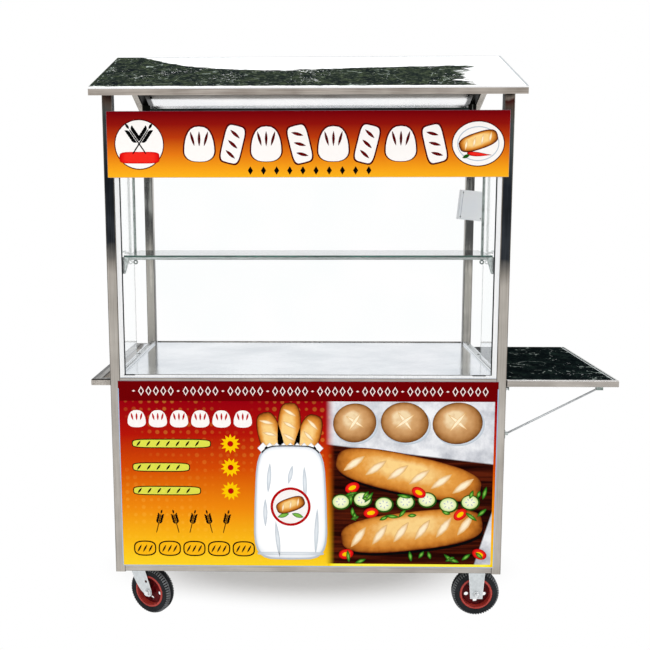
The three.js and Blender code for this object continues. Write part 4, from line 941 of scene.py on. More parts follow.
def front_channel_finish(face, rounded):
    """Uprights 0, sill 1, rounded corners 2."""
    if rounded:
        return 2
    return 1 if face.calc_center_median().z < SILL_TOP else 0


def side_channel_finish(face, rounded):
    """Top 0, walls 1, the corners towards the case in a painted dark reflection 2."""
    if rounded:
        return 2 if face.normal.x * (MIDDLE_X - face.calc_center_median().x) > 0 else 0
    return 0 if face.normal.z > 0.7 else 1


finished("front_glass_channel", [anodised_upright, anodised, channel_wall], width=0.5 * MM,
         choose=front_channel_finish)
for side in ("left", "right"):
    finished(side + "_side_channel", [anodised, channel_wall, gasket], width=0.5 * MM,
             choose=side_channel_finish)
    finished(side + "_shelf_bracket", [shelf_zinc, rod_zinc], width=1.0 * MM, least=8 * MM,
             choose=bends_apart)
    finished(side + "_shelf_hanger", [rod_zinc], width=0, crease=40)
finished("shelf_rail", [shelf_bar, rod_zinc], width=1.2 * MM, choose=bends_apart)
print("channels and shelf dressed")

# %% [markdown]
# Black rubber packing holds the front glass in its channel and shows as a line 3.2 mm wide along each
# upright and 1 mm along the sill. At the ends of the sill two short black blocks stand out, a painted
# shadow. Each side channel is held down by two dark bolts through its middle, beside the foot of the
# pane. All of it is plain strips and heads, laid against the channels' own corners.

# %% Packing and channel bolts
channel_low, channel_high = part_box("front_glass_channel")
glass_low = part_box("front_glass")[0]
LEG, STRIP = 14 * MM, 3.2 * MM  # width of a channel's leg, and of the packing that shows beside it
SILL_HEIGHT = 8 * MM
SILL_END_SHADOWS = ((12 * MM, 34 * MM), (1068 * MM, 40 * MM))  # each one's start from the left, and length
CHANNEL_BOLTS = (30 * MM, 220 * MM)  # their places along Y, clear of the pane
BOLT_RADIUS = 4.2 * MM
leg_low, leg_high = channel_low.x + LEG, channel_high.x - LEG
sill = channel_low.z + SILL_HEIGHT
bm = bmesh.new()
for start in (leg_low, leg_high - STRIP):
    edged_box(bm, Vector((start, glass_low.y - 1.2 * MM, glass_low.z)),
              Vector((start + STRIP, glass_low.y, channel_high.z)), 0.3 * MM)
edged_box(bm, Vector((leg_low, glass_low.y - 1.0 * MM, sill)),
          Vector((leg_high, glass_low.y, sill + 1.0 * MM)), 0.2 * MM)
for start, length in SILL_END_SHADOWS:
    corner = Vector((channel_low.x + start, channel_low.y - 0.3 * MM, sill - 2 * MM))
    edged_box(bm, corner, corner + Vector((length, 2 * MM, 2.4 * MM)), 0.3 * MM)
piece_from(bm, "front_glass_packing", [gasket], "cart")
bm = bmesh.new()
for side in ("left", "right"):
    low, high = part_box(side + "_side_channel")
    for y in CHANNEL_BOLTS:
        domed_head(bm, Matrix.Translation(((low.x + high.x) / 2, y, high.z)), BOLT_RADIUS, (1, 1, 0.4))
piece_from(bm, "side_channel_bolts", [gasket], "cart")
print("packing laid, sill at", round(sill, 4))

# %% [markdown]
# ## Switch box
# A small surface-mounted box: a base and a lid that meet in a shadow line, painted as a thin blue-grey
# strip on the front, with a screw in each corner. It hangs a little askew on its post, so its copy is
# beveled in place, and the painted shadow line and the screws are set out in the box's own tilted axes.

# %% Switch box
BOX_TILT = math.radians(6)
BOX_SIZE = Vector((90, 35, 105)) * MM
SCREW_PLACE = (36 * MM, 43 * MM)  # from the middle of the box, across and up
LID_SHADOW_STRIP = Vector((1.2, 0.4, 97)) * MM
LINE_FROM_SIDE = 9 * MM
box_low, box_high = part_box("switch_box")
box_turn = Matrix.Translation((box_low + box_high) / 2) @ Matrix.Rotation(BOX_TILT, 4, "Y")
finished("switch_box", [abs_plastic], width=2.5 * MM, least=20 * MM, segments=3, crease=50)
bm = bmesh.new()
for across in (-1, 1):
    for up in (-1, 1):
        spot = Vector((across * SCREW_PLACE[0], -BOX_SIZE.y / 2, up * SCREW_PLACE[1]))
        domed_head(bm, box_turn @ Matrix.Translation(spot), 2.2 * MM, (1, 0.35, 1))
piece_from(bm, "switch_box_screws", [gasket], "cart")
# The lid's shadow line: a thin strip laid on the front, a painted shadow.
bm = bmesh.new()
middle = Vector((LINE_FROM_SIDE - BOX_SIZE.x / 2, -0.1 * MM - BOX_SIZE.y / 2, 0))
edged_box(bm, middle - LID_SHADOW_STRIP / 2, middle + LID_SHADOW_STRIP / 2, 0.15 * MM, box_turn)
piece_from(bm, "switch_box_lid_shadow_strip", [board_edge], "cart")
print("switch box dressed, turned by", round(math.degrees(BOX_TILT)), "degrees")

# %% [markdown]
# ## The roof
# One sheet is folded over the ridge with a lip down over each eave, on a frame of 20 mm tube. The
# copy has three finishes, told apart by the way each face looks: a painted reflection above, mirror
# below, and a painted highlight on the lip at the edges. Under it, the outer sides of the frame are
# pale steel, the rear eave's inner side has a painted highlight, and the rafters' undersides and inner
# sides are painted in deep shadow.

# %% Roof sheet and frame
GABLE_RAFTER = 600 * MM  # the rafters nearer to the middle than this get painted deep shadow


def roof_finish(face, rounded):
    """Top with its painted reflection 0, underside 1, edges with a painted highlight 2."""
    if abs(face.normal.z) < 0.5:
        return 2
    return 0 if face.normal.z > 0 else 1


def roof_frame_finish(face, rounded):
    """Eaves 0, the rear eave's inner side with a painted highlight 1, rafters 2, bends with a painted dark
    reflection 3, painted shadow 4.
    """
    middle = face.calc_center_median()
    if looks_inward(face):
        return 4
    if rounded:
        return 3
    if abs(face.normal.y) > 0.7:
        return 1 if middle.y > 0 and face.normal.y < 0 else 0
    return 4 if face.normal.z < 0 and abs(middle.x - MIDDLE_X) < GABLE_RAFTER else 2


finished("roof_sheet", [roof_painted_reflection, mirror_steel, painted_highlight_steel], width=0.4 * MM, choose=roof_finish,
         segments=1)
finished("roof_frame", [eave_steel, painted_highlight_steel, arm_steel, bend_dark_reflection_steel, black_steel], width=1.2 * MM,
         choose=roof_frame_finish, join=False)
print("roof sheet and frame dressed")

# %% [markdown]
# Blind rivets hold the sheet to the rafters along both gables. Each head is sunk by a little and leans
# with its slope, so its place and its turn both come from the roof's height and depth.

# %% Roof rivets
RIVET_FROM_EDGE = 12 * MM
RIVETS = 7
RIVET_RADIUS, RIVET_SUNK = 3.2 * MM, 0.4 * MM
ROOF_DROP = 140 * MM  # from the ridge to the eaves
eave = ROOF_HIGH.y
lean = math.atan2(ROOF_DROP, eave)
bm = bmesh.new()
for x in (ROOF_LOW.x + RIVET_FROM_EDGE, ROOF_HIGH.x - RIVET_FROM_EDGE):
    for slope in (-1, 1):
        for i in range(RIVETS):
            y = slope * eave * (i + 0.6) / RIVETS
            z = ROOF_HIGH.z - ROOF_DROP * abs(y) / eave - RIVET_SUNK
            domed_head(bm, Matrix.Translation((x, y, z)) @ Matrix.Rotation(-slope * lean, 4, "X"),
                       RIVET_RADIUS, (1, 1, 0.35))
piece_from(bm, "roof_rivets", [rod_zinc], "cart")
print("roof dressed with", 4 * RIVETS, "rivets")

# %% [markdown]
# ## Push handle
# The handle is a bar on two arms, in the same tube as the body, with rounder bends because hands hold
# it. Seen from the front, its top mirrors the room in stripes with a black line along each edge. Both
# are painted: the tops take painted reflection stripes, and a strip 3 mm wide is inset round the top
# faces and takes the same painted deep shadow as their upper bends.

# %% Push handle
HANDLE_MIDDLE = sum(corner.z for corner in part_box("push_handle")) / 2
HANDLE_EDGING = 3.0 * MM


def handle_finish(face, rounded):
    """Sides 0, tops with painted reflection stripes 1, upper bends and edging in painted deep shadow 2,
    the inner side of the rear arm 3.
    """
    middle = face.calc_center_median()
    if rounded:
        return 2 if middle.z > HANDLE_MIDDLE else 0
    if face.normal.y < -0.7 and middle.y > 0:
        return 3
    return 1 if face.normal.z > 0.7 else 0


finished("push_handle", [arm_steel, handle_reflection_steel, black_steel, counter_steel], width=3.0 * MM,
         least=40 * MM, segments=3, choose=handle_finish, edging=HANDLE_EDGING)
print("handle dressed, middle at height", round(HANDLE_MIDDLE, 4))

# %% [markdown]
# ## Folding table
# The table is a ring of 20 mm tube with a thin sheet let into it, on a hinge as long as the table is
# deep. Its two stays are plated rods, each with an eye on a pin between two ears. These keep the
# solid's shape and only gain rounded bends, and the table's hinge gets knuckles as the doors' have.

# %% Table, hinge and stays
LUG_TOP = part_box("table_frame")[1].z - 21 * MM  # the stays' lugs hang below the frame's tube
TABLE_LEAF = 1.5 * MM
TABLE_BARREL = 4 * MM
TABLE_PIN = Vector(JOINTS["side_table_fold"]["pos_m"])


def table_top_finish(face, rounded):
    """The top with its painted reflection 0, and edges with a painted highlight 1."""
    return 0 if face.normal.z > 0.9 and not rounded else 1


def table_frame_finish(face, rounded):
    """Tubes along X 0 and along Y 1, bends with a painted highlight 2, lugs 3."""
    if face.calc_center_median().z < LUG_TOP:
        return 3
    if rounded:
        return 2
    return 1 if abs(face.normal.x) > 0.7 else 0


finished("table_frame", [rail_steel, arm_steel, painted_highlight_steel, rod_zinc], width=1.4 * MM, least=60 * MM,
         choose=table_frame_finish)
finished("table_top", [table_painted_reflection, painted_highlight_steel], width=0.6 * MM, segments=1, choose=table_top_finish)
for name in ("front_stay", "rear_stay"):
    finished(name, [stay_zinc], width=0, crease=40)
    finished(name + "_bracket", [shelf_zinc], width=0.4 * MM, least=6 * MM)
low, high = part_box("table_hinge")
bm = bmesh.new()
edged_box(bm, Vector((low.x, low.y, TABLE_PIN.z)), Vector((low.x + TABLE_LEAF, high.y, high.z)), 0.3 * MM)
barrel(bm, Vector((TABLE_PIN.x, low.y, TABLE_PIN.z)), Vector((TABLE_PIN.x, high.y, TABLE_PIN.z)),
       TABLE_BARREL)
piece_from(bm, "table_hinge_finished", [zinc], "cart", ["table_hinge"])
print("table dressed, its pin at", tuple(round(value, 4) for value in TABLE_PIN))

# %% [markdown]
# ## Casters
# Tyres, rims, nuts and ball races are all turned about an axis, so each is a profile of half the
# section spun in small steps. The joints say where the axles are and which way they run. A full spin
# ends where it began, and the normals are recalculated, as a spun profile can come out inside out.

# %% Spinning round an axle
def axle_frame(joint_name):
    """Where a wheel's middle is, with Y along its axle."""
    joint = JOINTS[joint_name]
    axis = Vector(joint["axis"]).normalized()
    turn = Vector((0, 1, 0)).rotation_difference(axis).to_matrix().to_4x4()
    return Matrix.Translation(joint["pos_m"]) @ turn


def spin_profile(bm, profile, place, steps, closed=True):
    """Spins a profile of radius and distance along the axle, in millimetres, and returns its vertices."""
    before = set(bm.verts)
    line = [bm.verts.new((radius * MM, along * MM, 0)) for radius, along in profile]
    pairs = list(zip(line, line[1:] + line[:1])) if closed else list(zip(line, line[1:]))
    edges = [bm.edges.new(pair) for pair in pairs]
    bmesh.ops.spin(
        bm, geom=line + edges, cent=(0, 0, 0), axis=(0, 1, 0), dvec=(0, 0, 0), angle=2 * math.pi,
        steps=steps, use_merge=True,
    )
    made = [vert for vert in bm.verts if vert not in before]
    bmesh.ops.remove_doubles(bm, verts=made, dist=0.005 * MM)
    made = [vert for vert in bm.verts if vert not in before]
    bmesh.ops.recalc_face_normals(bm, faces=list({face for vert in made for face in vert.link_faces}))
    bmesh.ops.transform(bm, matrix=place, verts=made)
    return made


def mirrored_profile(half):
    """Half a section, and the same once more on the other side of the wheel's middle."""
    return half + [(radius, -along) for radius, along in reversed(half)]


TYRE_PROFILE = mirrored_profile([
    (49.3, -16.2), (52.3, -16.2), (52.3, -19.4), (54.5, -20), (58.5, -20), (62.5, -20), (67.5, -19.2),
    (72.2, -16.2), (74.6, -11), (75, -6.5), (75, -5.5), (73.4, -4.5), (73.4, -1.0), (75, -0.3),
])
TYRE_STEPS = 108
LUG_DEPTH = 3.2 * MM
LUG_SLANT = 0.6  # how much of the way across the tyre counts in the way that a lug stands out
FLANGE_PROFILE = mirrored_profile([
    (44.2, -15.5), (44.6, -18.4), (46.2, -19.9), (49.2, -20), (51.4, -19.4), (52.1, -17.8), (52, -16.3),
    (49.1, -16),
])
FLANGE_STEPS = 72
FLANGE_INSIDE = 46 * MM  # the solid's own flange lies beyond this radius
TUCKED = 0.965  # and shrinks to this share of its size, so that the new one covers it
CORNERS = ("front_left", "rear_left", "front_right", "rear_right")
WHEELS = [(corner + "_caster", corner + "_wheel") for corner in CORNERS]
print("tyre profile of", len(TYRE_PROFILE), "points, flange profile of", len(FLANGE_PROFILE))

# %% [markdown]
# The tyres are moulded with lugs along both shoulders. The spun tyre has a ring of small faces, and
# every other one on the shoulders is pushed in to leave lugs, half a step apart on the two sides. The
# wheel centre is a pressed red dish inside a raised flange: its solid has the dish and its holes
# right, so its copy is kept for those, in a darker red that paints the dish's shade, and a finely spun
# flange goes round it.

# %% Tyres and wheel centres
SHOULDER_RADIUS = 68 * MM  # shoulder faces lie beyond this radius
SHOULDER = (7 * MM, 18.5 * MM)  # and between these distances from the wheel's middle


def cut_lugs(bm, place):
    """Pushes in every other row of shoulder faces, so that lugs stand between them. The shoulders are
    paler, worn and with a painted highlight, and the pushed-in rows near black, a painted shade.
    """
    back = place.inverted()
    chosen = []
    for face in bm.faces:
        spot = back @ face.calc_center_median()
        radius = math.hypot(spot.x, spot.z)
        if radius <= SHOULDER_RADIUS or not SHOULDER[0] < abs(spot.y) < SHOULDER[1]:
            continue
        face.material_index = 2
        turn = math.atan2(spot.z, spot.x) / (2 * math.pi) * TYRE_STEPS
        if math.floor(turn) % 2 == (0 if spot.y < 0 else 1):
            chosen.append(face)
    bmesh.ops.inset_region(bm, faces=chosen, thickness=0.5 * MM, depth=0.0, use_even_offset=True,
                           use_boundary=True)
    for vert in {vert for face in chosen for vert in face.verts}:
        spot = back @ vert.co
        outward = Vector((spot.x, spot.y * LUG_SLANT, spot.z)).normalized()
        vert.co = place @ (spot - outward * LUG_DEPTH)
    for face in chosen:
        face.material_index = 1
    return len(chosen)


for caster, body in WHEELS:
    place = axle_frame(body + "_roll")
    bm = bmesh.new()
    spin_profile(bm, TYRE_PROFILE, place, TYRE_STEPS)
    lugs = cut_lugs(bm, place)
    piece_from(bm, caster + "_tyre_moulded", [rubber, groove_shade_rubber, worn_highlit_lug_rubber], body,
               [caster + "_tyre"], crease=38)

    bm = merged_copy(caster + "_rim")
    back = place.inverted()
    for vert in bm.verts:
        spot = back @ vert.co
        if math.hypot(spot.x, spot.z) > FLANGE_INSIDE:
            vert.co = place @ Vector((spot.x * TUCKED, spot.y * TUCKED ** 3, spot.z * TUCKED))
    for face in bm.faces:
        face.material_index = 1
    spin_profile(bm, FLANGE_PROFILE, place, FLANGE_STEPS)
    piece_from(bm, caster + "_rim_pressed", [red_enamel, shaded_web_enamel], body,
               [caster + "_rim"], crease=40)
print("tyres cut with", lugs, "lug faces each")

# %% [markdown]
# ## Forks, bolts and ball races
# A fork is pressed from 3 mm plate, so its edges are folded, and they take a painted highlight; the
# plate's own edges under the base take a painted shadow. A domed nut over a washer closes each axle
# bolt at both ends; nut and washer are one spun profile. The swivel plate carries a ball race, a
# rounded pressing between the plate and the fork, in painted shadow.

# %% Forks, nuts and races
NUT_PROFILE = [
    (0, -37.9), (3.4, -37.4), (6.0, -35.9), (7.7, -33.6), (8.6, -31.2), (8.8, -29.0), (11.4, -28.9),
    (11.4, -26.4), (0, -26.4),
]
RACE_PROFILE = [
    (18, 0.2), (29.5, 0.2), (31.0, 1.4), (31.4, 3.0), (30.2, 4.2), (27.5, 4.6), (27.0, 5.4), (29.8, 6.0),
    (30.2, 7.4), (28.5, 8.2), (18, 8.2),
]
PLATE_FROM = 168 * MM  # a plate's edge lies in the shadow of the base above this height
RACE_FROM = 164.7 * MM  # height at which the race's profile starts
NUT_STEPS, RACE_STEPS = 24, 40


def fork_finish(face, rounded):
    """Pressed faces 0, folded edges with a painted highlight 1, the plate's own edges in painted shadow 2."""
    if face.calc_center_median().z > PLATE_FROM and abs(face.normal.z) < 0.7:
        return 2
    return 1 if rounded else 0


for caster, body in WHEELS:
    finished(caster + "_fork", [fork_zinc, bend_highlight_zinc, shaded_zinc], width=1.3 * MM, least=10 * MM,
             crease=40, choose=fork_finish)
    holder = BODY_OF[caster + "_axle"]
    bm = merged_copy(caster + "_axle")
    place = axle_frame(body + "_roll")
    for turn in (0, math.pi):
        spin_profile(bm, NUT_PROFILE, place @ Matrix.Rotation(turn, 4, "Z"), NUT_STEPS, closed=False)
    piece_from(bm, caster + "_axle_bolted", [bolt_zinc], holder, [caster + "_axle"])
for row in ("front", "rear"):
    name = row + "_left_caster_plate"
    finished(name, [zinc, bend_highlight_zinc, shaded_zinc], width=0.8 * MM, least=40 * MM, choose=fork_finish)
    bm = bmesh.new()
    pin = Vector(JOINTS[row + "_left_swivel_turn"]["pos_m"])
    stand = Matrix.Translation((pin.x, pin.y, RACE_FROM)) @ Matrix.Rotation(math.pi / 2, 4, "X")
    spin_profile(bm, RACE_PROFILE, stand, RACE_STEPS)
    piece_from(bm, row + "_left_caster_race", [shaded_zinc], "cart")
print("casters dressed")

# %% [markdown]
# ## Outlines for the signs
# Every printed shape starts as a disc whose rim is pulled into an outline. An outline is a function
# that takes a point of the rim, between -1 and 1 each way, and says where it goes: a power below one
# pushes it out towards a square, and a power above one draws it in to a tip.

# %% Outlines
def disc(x, z):
    """The rim as it is; with four sides, a lozenge."""
    return x, z


def slab(x, z):
    """A rounded oblong."""
    return math.copysign(abs(x) ** 0.42, x), math.copysign(abs(z) ** 0.42, z)


def leaf(x, z):
    """Pointed at both ends."""
    return x, math.copysign(z * z, z)


def bun(x, z):
    """A dome on a flat foot."""
    return math.copysign(abs(x) ** 0.75, x), z if z > 0 else z * 0.42


def loaf(x, z):
    """Long and plump, with blunt ends."""
    return math.copysign(abs(x) ** 0.8, x), math.copysign(abs(z) ** 0.62, z)


def bag(x, z):
    """Upright, and a little narrower at the top."""
    x, z = slab(x, z)
    return x * (1 - 0.06 * z), z


def strip(x, z):
    """A nearly square outline."""
    return math.copysign(abs(x) ** 0.06, x), math.copysign(abs(z) ** 0.06, z)


def drop(x, z):
    """Thick at one end and drawn out to a bent point at the other."""
    return x, z * (0.5 - 0.5 * x) ** 0.8 + 0.5 * (x * 0.5 + 0.5) ** 2


print("a slab's corner lies at", [round(value, 2) for value in slab(0.707, 0.707)])

# %% [markdown]
# ## The stamp
# A shape is laid on the board and raised by the thickness of a few ink films, so that a later one
# lies over an earlier one and no two share a plane. Rings inset into its top carry the tone, from 0 at
# the rim to 1 in the middle. A thin solid is closed all round, so it exports as a clean mesh.

# %% The stamp
FILM = 0.12 * MM  # far thicker than real ink, so that films never share a plane
LIGHT_FROM = Vector((-0.6, 0, 0.8))  # the way towards which the lit side of a shape is drawn


class Board:
    """A sign's front face, with places in millimetres from its middle."""

    def __init__(self, cad_name):
        self.low, self.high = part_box(cad_name)
        self.middle = (self.low + self.high) / 2
        self.bm = bmesh.new()
        self.tone = self.bm.verts.layers.float.new("tone")

    def stamp(self, finish, place, size, shape=disc, turn=0.0, level=1, sides=28, rings=(), star=1.0,
              lit=0.0):
        """Lays a shape down. level is its height in films, rings are shares of its size, lit draws
        them towards the upper left, and star pulls in every other point of the rim."""
        made = bmesh.ops.create_circle(self.bm, cap_ends=True, segments=sides, radius=1)["verts"]
        tilt = Matrix.Rotation(math.radians(turn), 2)
        for i, vert in enumerate(made):
            reach = star if i % 2 else 1.0
            x, z = shape(vert.co.x * reach, vert.co.y * reach)
            spot = tilt @ Vector((x * size[0] / 2, z * size[1] / 2)) + Vector(place)
            vert.co = (self.middle.x + spot.x * MM, self.low.y, self.middle.z + spot.y * MM)
        foot = made[0].link_faces[0]
        raised = bmesh.ops.extrude_face_region(self.bm, geom=[foot])["geom"]
        top_verts = [g for g in raised if isinstance(g, bmesh.types.BMVert)]
        top = next(g for g in raised if isinstance(g, bmesh.types.BMFace))
        bmesh.ops.translate(self.bm, verts=top_verts, vec=(0, -level * FILM, 0))
        for face in {f for v in top_verts for f in v.link_faces}:
            face.material_index = INKS.index(finish)
        heart = top.calc_center_median()
        before, here = 1.0, heart
        for i, share in enumerate(rings):
            bmesh.ops.inset_individual(self.bm, faces=[top], thickness=0.01 * MM, use_even_offset=False)
            new = heart + LIGHT_FROM * (min(size) / 2 * lit * (1 - share) * MM)
            for vert in top.verts:
                vert.co = new + (vert.co - here) * (share / before)
                vert[self.tone] = (i + 1) / len(rings)
            before, here = share, new

    def done(self, name, slot):
        """Makes one piece of all that was stamped."""
        bmesh.ops.recalc_face_normals(self.bm, faces=self.bm.faces[:])
        return piece_from(self.bm, name, INKS, "cart")


print("films are", round(FILM / MM, 2), "mm thick")

# %% [markdown]
# Outlined shapes, scored loaves and ears of wheat come again and again on both signs, at other sizes
# and turns. Each is a small function that stamps its parts in order, so that the signs themselves
# stay lists of what goes where.

# %% Shapes that are drawn more than once
def ringed(board, edge, fill, place, size, shape, turn=0.0, level=1, rim=3.0, **more):
    """A filled shape inside an outline."""
    outer = (size[0] + 2 * rim, size[1] + 2 * rim)
    board.stamp(edge, place, outer, shape, turn, level, more.get("sides", 28))
    board.stamp(fill, place, size, shape, turn, level + 1, **more)


def scored_loaf(board, place, size, turn, level=1, edge=OUTLINE, fill=WHITE, cut=OUTLINE, cuts=3, rim=3.0,
                shape=slab, lean=62, thick=0.17, **more):
    """A long loaf with slanting cuts across its crown."""
    ringed(board, edge, fill, place, size, shape, turn, level, rim, **more)
    along = Matrix.Rotation(math.radians(turn), 2)
    for i in range(cuts):
        offset = along @ Vector(((i - (cuts - 1) / 2) * size[0] / (cuts + 0.6), 0))
        spot = (place[0] + offset.x, place[1] + offset.y)
        board.stamp(cut, spot, (size[1] * 0.66, size[1] * thick), leaf, turn + lean, level + 2, 12,
                    (0.7, 0.4))


def wheat(board, place, height, turn, finish, level=1, grains=5):
    """An ear of wheat: a stalk with a pair of grains at each step, and one at its tip."""
    up = Matrix.Rotation(math.radians(turn), 2)

    def spot(x, z):
        moved = up @ Vector((x, z))
        return place[0] + moved.x, place[1] + moved.y

    board.stamp(finish, spot(0, -height * 0.1), (height * 0.04, height * 0.9), slab, turn, level, 12)
    for i in range(grains):
        z = height * (-0.02 + 0.42 * i / grains)
        for hand, lean in ((-1, 122), (1, 58)):
            board.stamp(finish, spot(hand * height * 0.085, z), (height * 0.2, height * 0.085), leaf,
                        turn + lean, level, 14)
    board.stamp(finish, spot(0, height * 0.46), (height * 0.2, height * 0.08), leaf, turn + 90, level, 14)


print("stamps ready in", len(INKS), "inks")

# %% [markdown]
# ## The banner
# A row of big white buns and loaves with a dark red outline runs along the middle, small black
# lozenges run under it, and a plain emblem closes each end: crossed wheat in a white disc at the left,
# and a golden loaf with a chilli on a white plate at the right.

# %% Banner
EMBLEM_X, PLATE_X = -492, 496
finished("banner_board", [banner_ground, board_edge], width=0.5 * MM, segments=1, choose=front_apart)
banner = Board("banner_board")
for i in range(8):
    x = -316 + i * 98
    if i % 2:
        scored_loaf(banner, (x, 0), (108, 56), 76 if i % 4 == 1 else 104, rim=4.5)
    else:
        ringed(banner, OUTLINE, WHITE, (x, -20), (88, 142), bun, rim=4.5)
        for hand in (-1, 0, 1):
            banner.stamp(OUTLINE, (x + hand * 20, 16), (44, 8), leaf, 90 - hand * 16, 3, 12)
for i in range(10):
    banner.stamp(BLACK, (-167 + i * 38.5, -76), (15, 25), disc, sides=4)
ringed(banner, OUTLINE, WHITE, (EMBLEM_X, 0), (140, 140), disc, rim=3.0, sides=48)
banner.stamp(SCARLET, (EMBLEM_X, -38), (118, 34), slab, level=3, rings=(0.9, 0.7))
for turn in (-34, 34):
    wheat(banner, (EMBLEM_X - turn * 0.28, 16), 96, turn, BLACK, 4)
ringed(banner, OUTLINE, WHITE, (PLATE_X, 0), (148, 126), disc, rim=3.0, sides=48)
banner.stamp(SHADE, (PLATE_X, 0), (122, 100), disc, level=3, sides=40)
banner.stamp(WHITE, (PLATE_X, 0), (116, 94), disc, level=4, sides=40)
scored_loaf(banner, (PLATE_X, 8), (112, 46), 18, 5, OUTLINE, CRUST, CRUMB, 4, 2.0, loaf,
            rings=(0.9, 0.76, 0.56), lit=0.3)
ringed(banner, OUTLINE, SCARLET, (PLATE_X + 4, -32), (70, 16), drop, -8, 8, 1.5, rings=(0.85, 0.6), lit=0.4)
banner.stamp(GREEN, (PLATE_X - 34, -36), (24, 10), leaf, 24, 10, 14)
banner.done("banner_motifs", "banner_print")
print("banner printed")

# %% [markdown]
# ## The lower sign
# Across the top runs a dark red strip with a fine row of lozenges. Below, from left to right: a row of
# white buns over lime bars with yellow suns, then black wheat and a row of outlined loaves; a tall white
# paper bag of loaves; and a picture of whole loaves on the dark board, with cucumber, chilli and leaves.

# %% Lower sign
finished("front_sign_panel", [sign_ground, board_edge], width=0.3 * MM, segments=1, choose=front_apart)
sign = Board("front_sign_panel")
for i in range(48):
    x = -529 + i * 22.7
    sign.stamp(ROSE, (x, 264), (18, 30) if i % 6 else (10, 6), disc, sides=4)
    if i % 6:
        sign.stamp(OUTLINE, (x, 264), (11, 20), disc, level=2, sides=4)
for i in range(6):
    x = -522 + i * 65
    sign.stamp(WHITE, (x, 166), (56, 76), bun)
    for hand in (-1, 0, 1):
        sign.stamp(SCARLET, (x + hand * 14, 184), (24, 6), leaf, 90 - hand * 14, 2, 12)
for row, (length, z) in enumerate(((238, 99), (172, 24), (205, -51))):
    ringed(sign, BLACK, LIME, (-536 + length / 2, z), (length, 24), slab, rim=3.0)
    for i in range(int(length / 30)):
        sign.stamp(BLACK, (-518 + i * 30, z), (22, 6), leaf, 54, 3, 12)
    sign.stamp(YELLOW, (-236, z), (62, 62), disc, 9 * row, 1, 24, star=0.62)
    sign.stamp(SCARLET, (-236, z), (18, 18), disc, level=2, sides=20)
for i in range(5):
    wheat(sign, (-460 + i * 52, -150), 70, 14 if i % 2 else -14, BLACK, grains=4)
for i in range(5):
    scored_loaf(sign, (-506 + i * 77, -238), (62, 42), 0, 1, BLACK, AMBER, BLACK, 3, 4.0, loaf, thick=0.13)
print("left of the sign printed")

# %% [markdown]
# The bag is a tall white slab that narrows upwards. Three loaves go down first, so that its zigzag
# rim, a row of turned squares, lies over them. Its folds are long leaves in grey, and the disc on its
# front shows one more loaf.

# %% The paper bag
BAG_X = -52
for turn, x, top in ((15, -58, 196), (-2, -4, 224), (-18, 50, 190)):
    scored_loaf(sign, (BAG_X + x, top - 84), (176, 70), 90 + turn, 1, OUTLINE, CRUST, CRUMB, 4, 1.5, loaf,
                rings=(0.93, 0.82, 0.66, 0.44), lit=0.35)
for i in range(9):
    sign.stamp(PAPER, (BAG_X - 84 + i * 21, 86), (34, 36), disc, level=5, sides=4, rings=(0.6,))
sign.stamp(SHADE, (BAG_X, -88), (222, 368), bag, level=5)
sign.stamp(PAPER, (BAG_X, -88), (214, 360), bag, level=6, sides=48, rings=(0.97, 0.9, 0.72), lit=0.1)
for x, z, turn, length in (
    (-66, 52, 86, 96), (-40, -146, 96, 120), (44, 34, 92, 110), (80, -120, 88, 150), (0, 62, 78, 60),
    (-78, -60, 90, 90),
):
    sign.stamp(SHADE, (BAG_X + x, -60 + z), (length, 13), leaf, turn, 7, 16, (0.7, 0.3))
sign.stamp(SHADE, (BAG_X, -252), (206, 10), slab, level=7, rings=(0.8, 0.4))
sign.stamp(SCARLET, (BAG_X, -100), (124, 124), disc, level=8, sides=40)
sign.stamp(WHITE, (BAG_X, -100), (108, 108), disc, level=9, sides=40)
scored_loaf(sign, (BAG_X, -94), (88, 42), 20, 10, OUTLINE, CRUST, CRUMB, 3, 1.5, loaf,
            rings=(0.86, 0.66, 0.4), lit=0.3)
for hand in (-1, 1):
    sign.stamp(GREEN, (BAG_X + hand * 22, -128), (38, 14), leaf, -18 * hand, 10, 16, (0.6,))
print("bag printed")

# %% [markdown]
# The picture is built up like a table is laid: three round loaves with a soft shade under each, then
# two long ones, cucumber slices between them, chilli rings, and leaves strewn at random. The random
# numbers start from a fixed seed, so the leaves fall in the same places each time.

# %% The picture of loaves
for x, z, width, height, turn in (
    (144, 166, 132, 122, 12), (296, 168, 146, 126, -8), (456, 166, 152, 130, 6),
):
    sign.stamp(SHADE, (x + 5, z - 7), (width * 1.02, height * 0.98), disc, turn, 1, 40, (0.9, 0.6))
    sign.stamp(TAN, (x, z), (width, height), disc, turn, 2, 40, (0.95, 0.86, 0.72, 0.5, 0.3), lit=0.4)
    for hand in (-1, 1):
        sign.stamp(CRUMB, (x, z + 4), (width * 0.5, height * 0.09), leaf, turn + 45 * hand, 4 + hand, 20,
                   (0.6,))
for x, z, length, width, turn, level in ((310, 4, 450, 122, -12, 6), (322, -176, 436, 124, 7, 10)):
    sign.stamp(BLACK, (x + 4, z - 9), (length, width), loaf, turn, level - 1, 48)
    scored_loaf(sign, (x, z), (length, width), turn, level, OUTLINE, CRUST, CRUMB, 6, 1.0, loaf, 48, 0.2,
                sides=64, rings=(0.97, 0.91, 0.8, 0.64, 0.46, 0.3), lit=0.5)
for i in range(7):
    x, z = 104 + i * 66, -84 + 9 * math.sin(i * 2.1)
    sign.stamp(GREEN, (x, z), (58, 50), disc, level=13, sides=32)
    sign.stamp(CUCUMBER, (x - 1, z + 1), (50, 42), disc, level=14, sides=32, rings=(0.9, 0.7, 0.4))
    for k in range(6):
        angle = math.radians(60 * k + 20 * i)
        sign.stamp(PAPER, (x - 1 + 12 * math.cos(angle), z + 1 + 10 * math.sin(angle)), (8, 3.6), leaf,
                   math.degrees(angle), 15, 10)
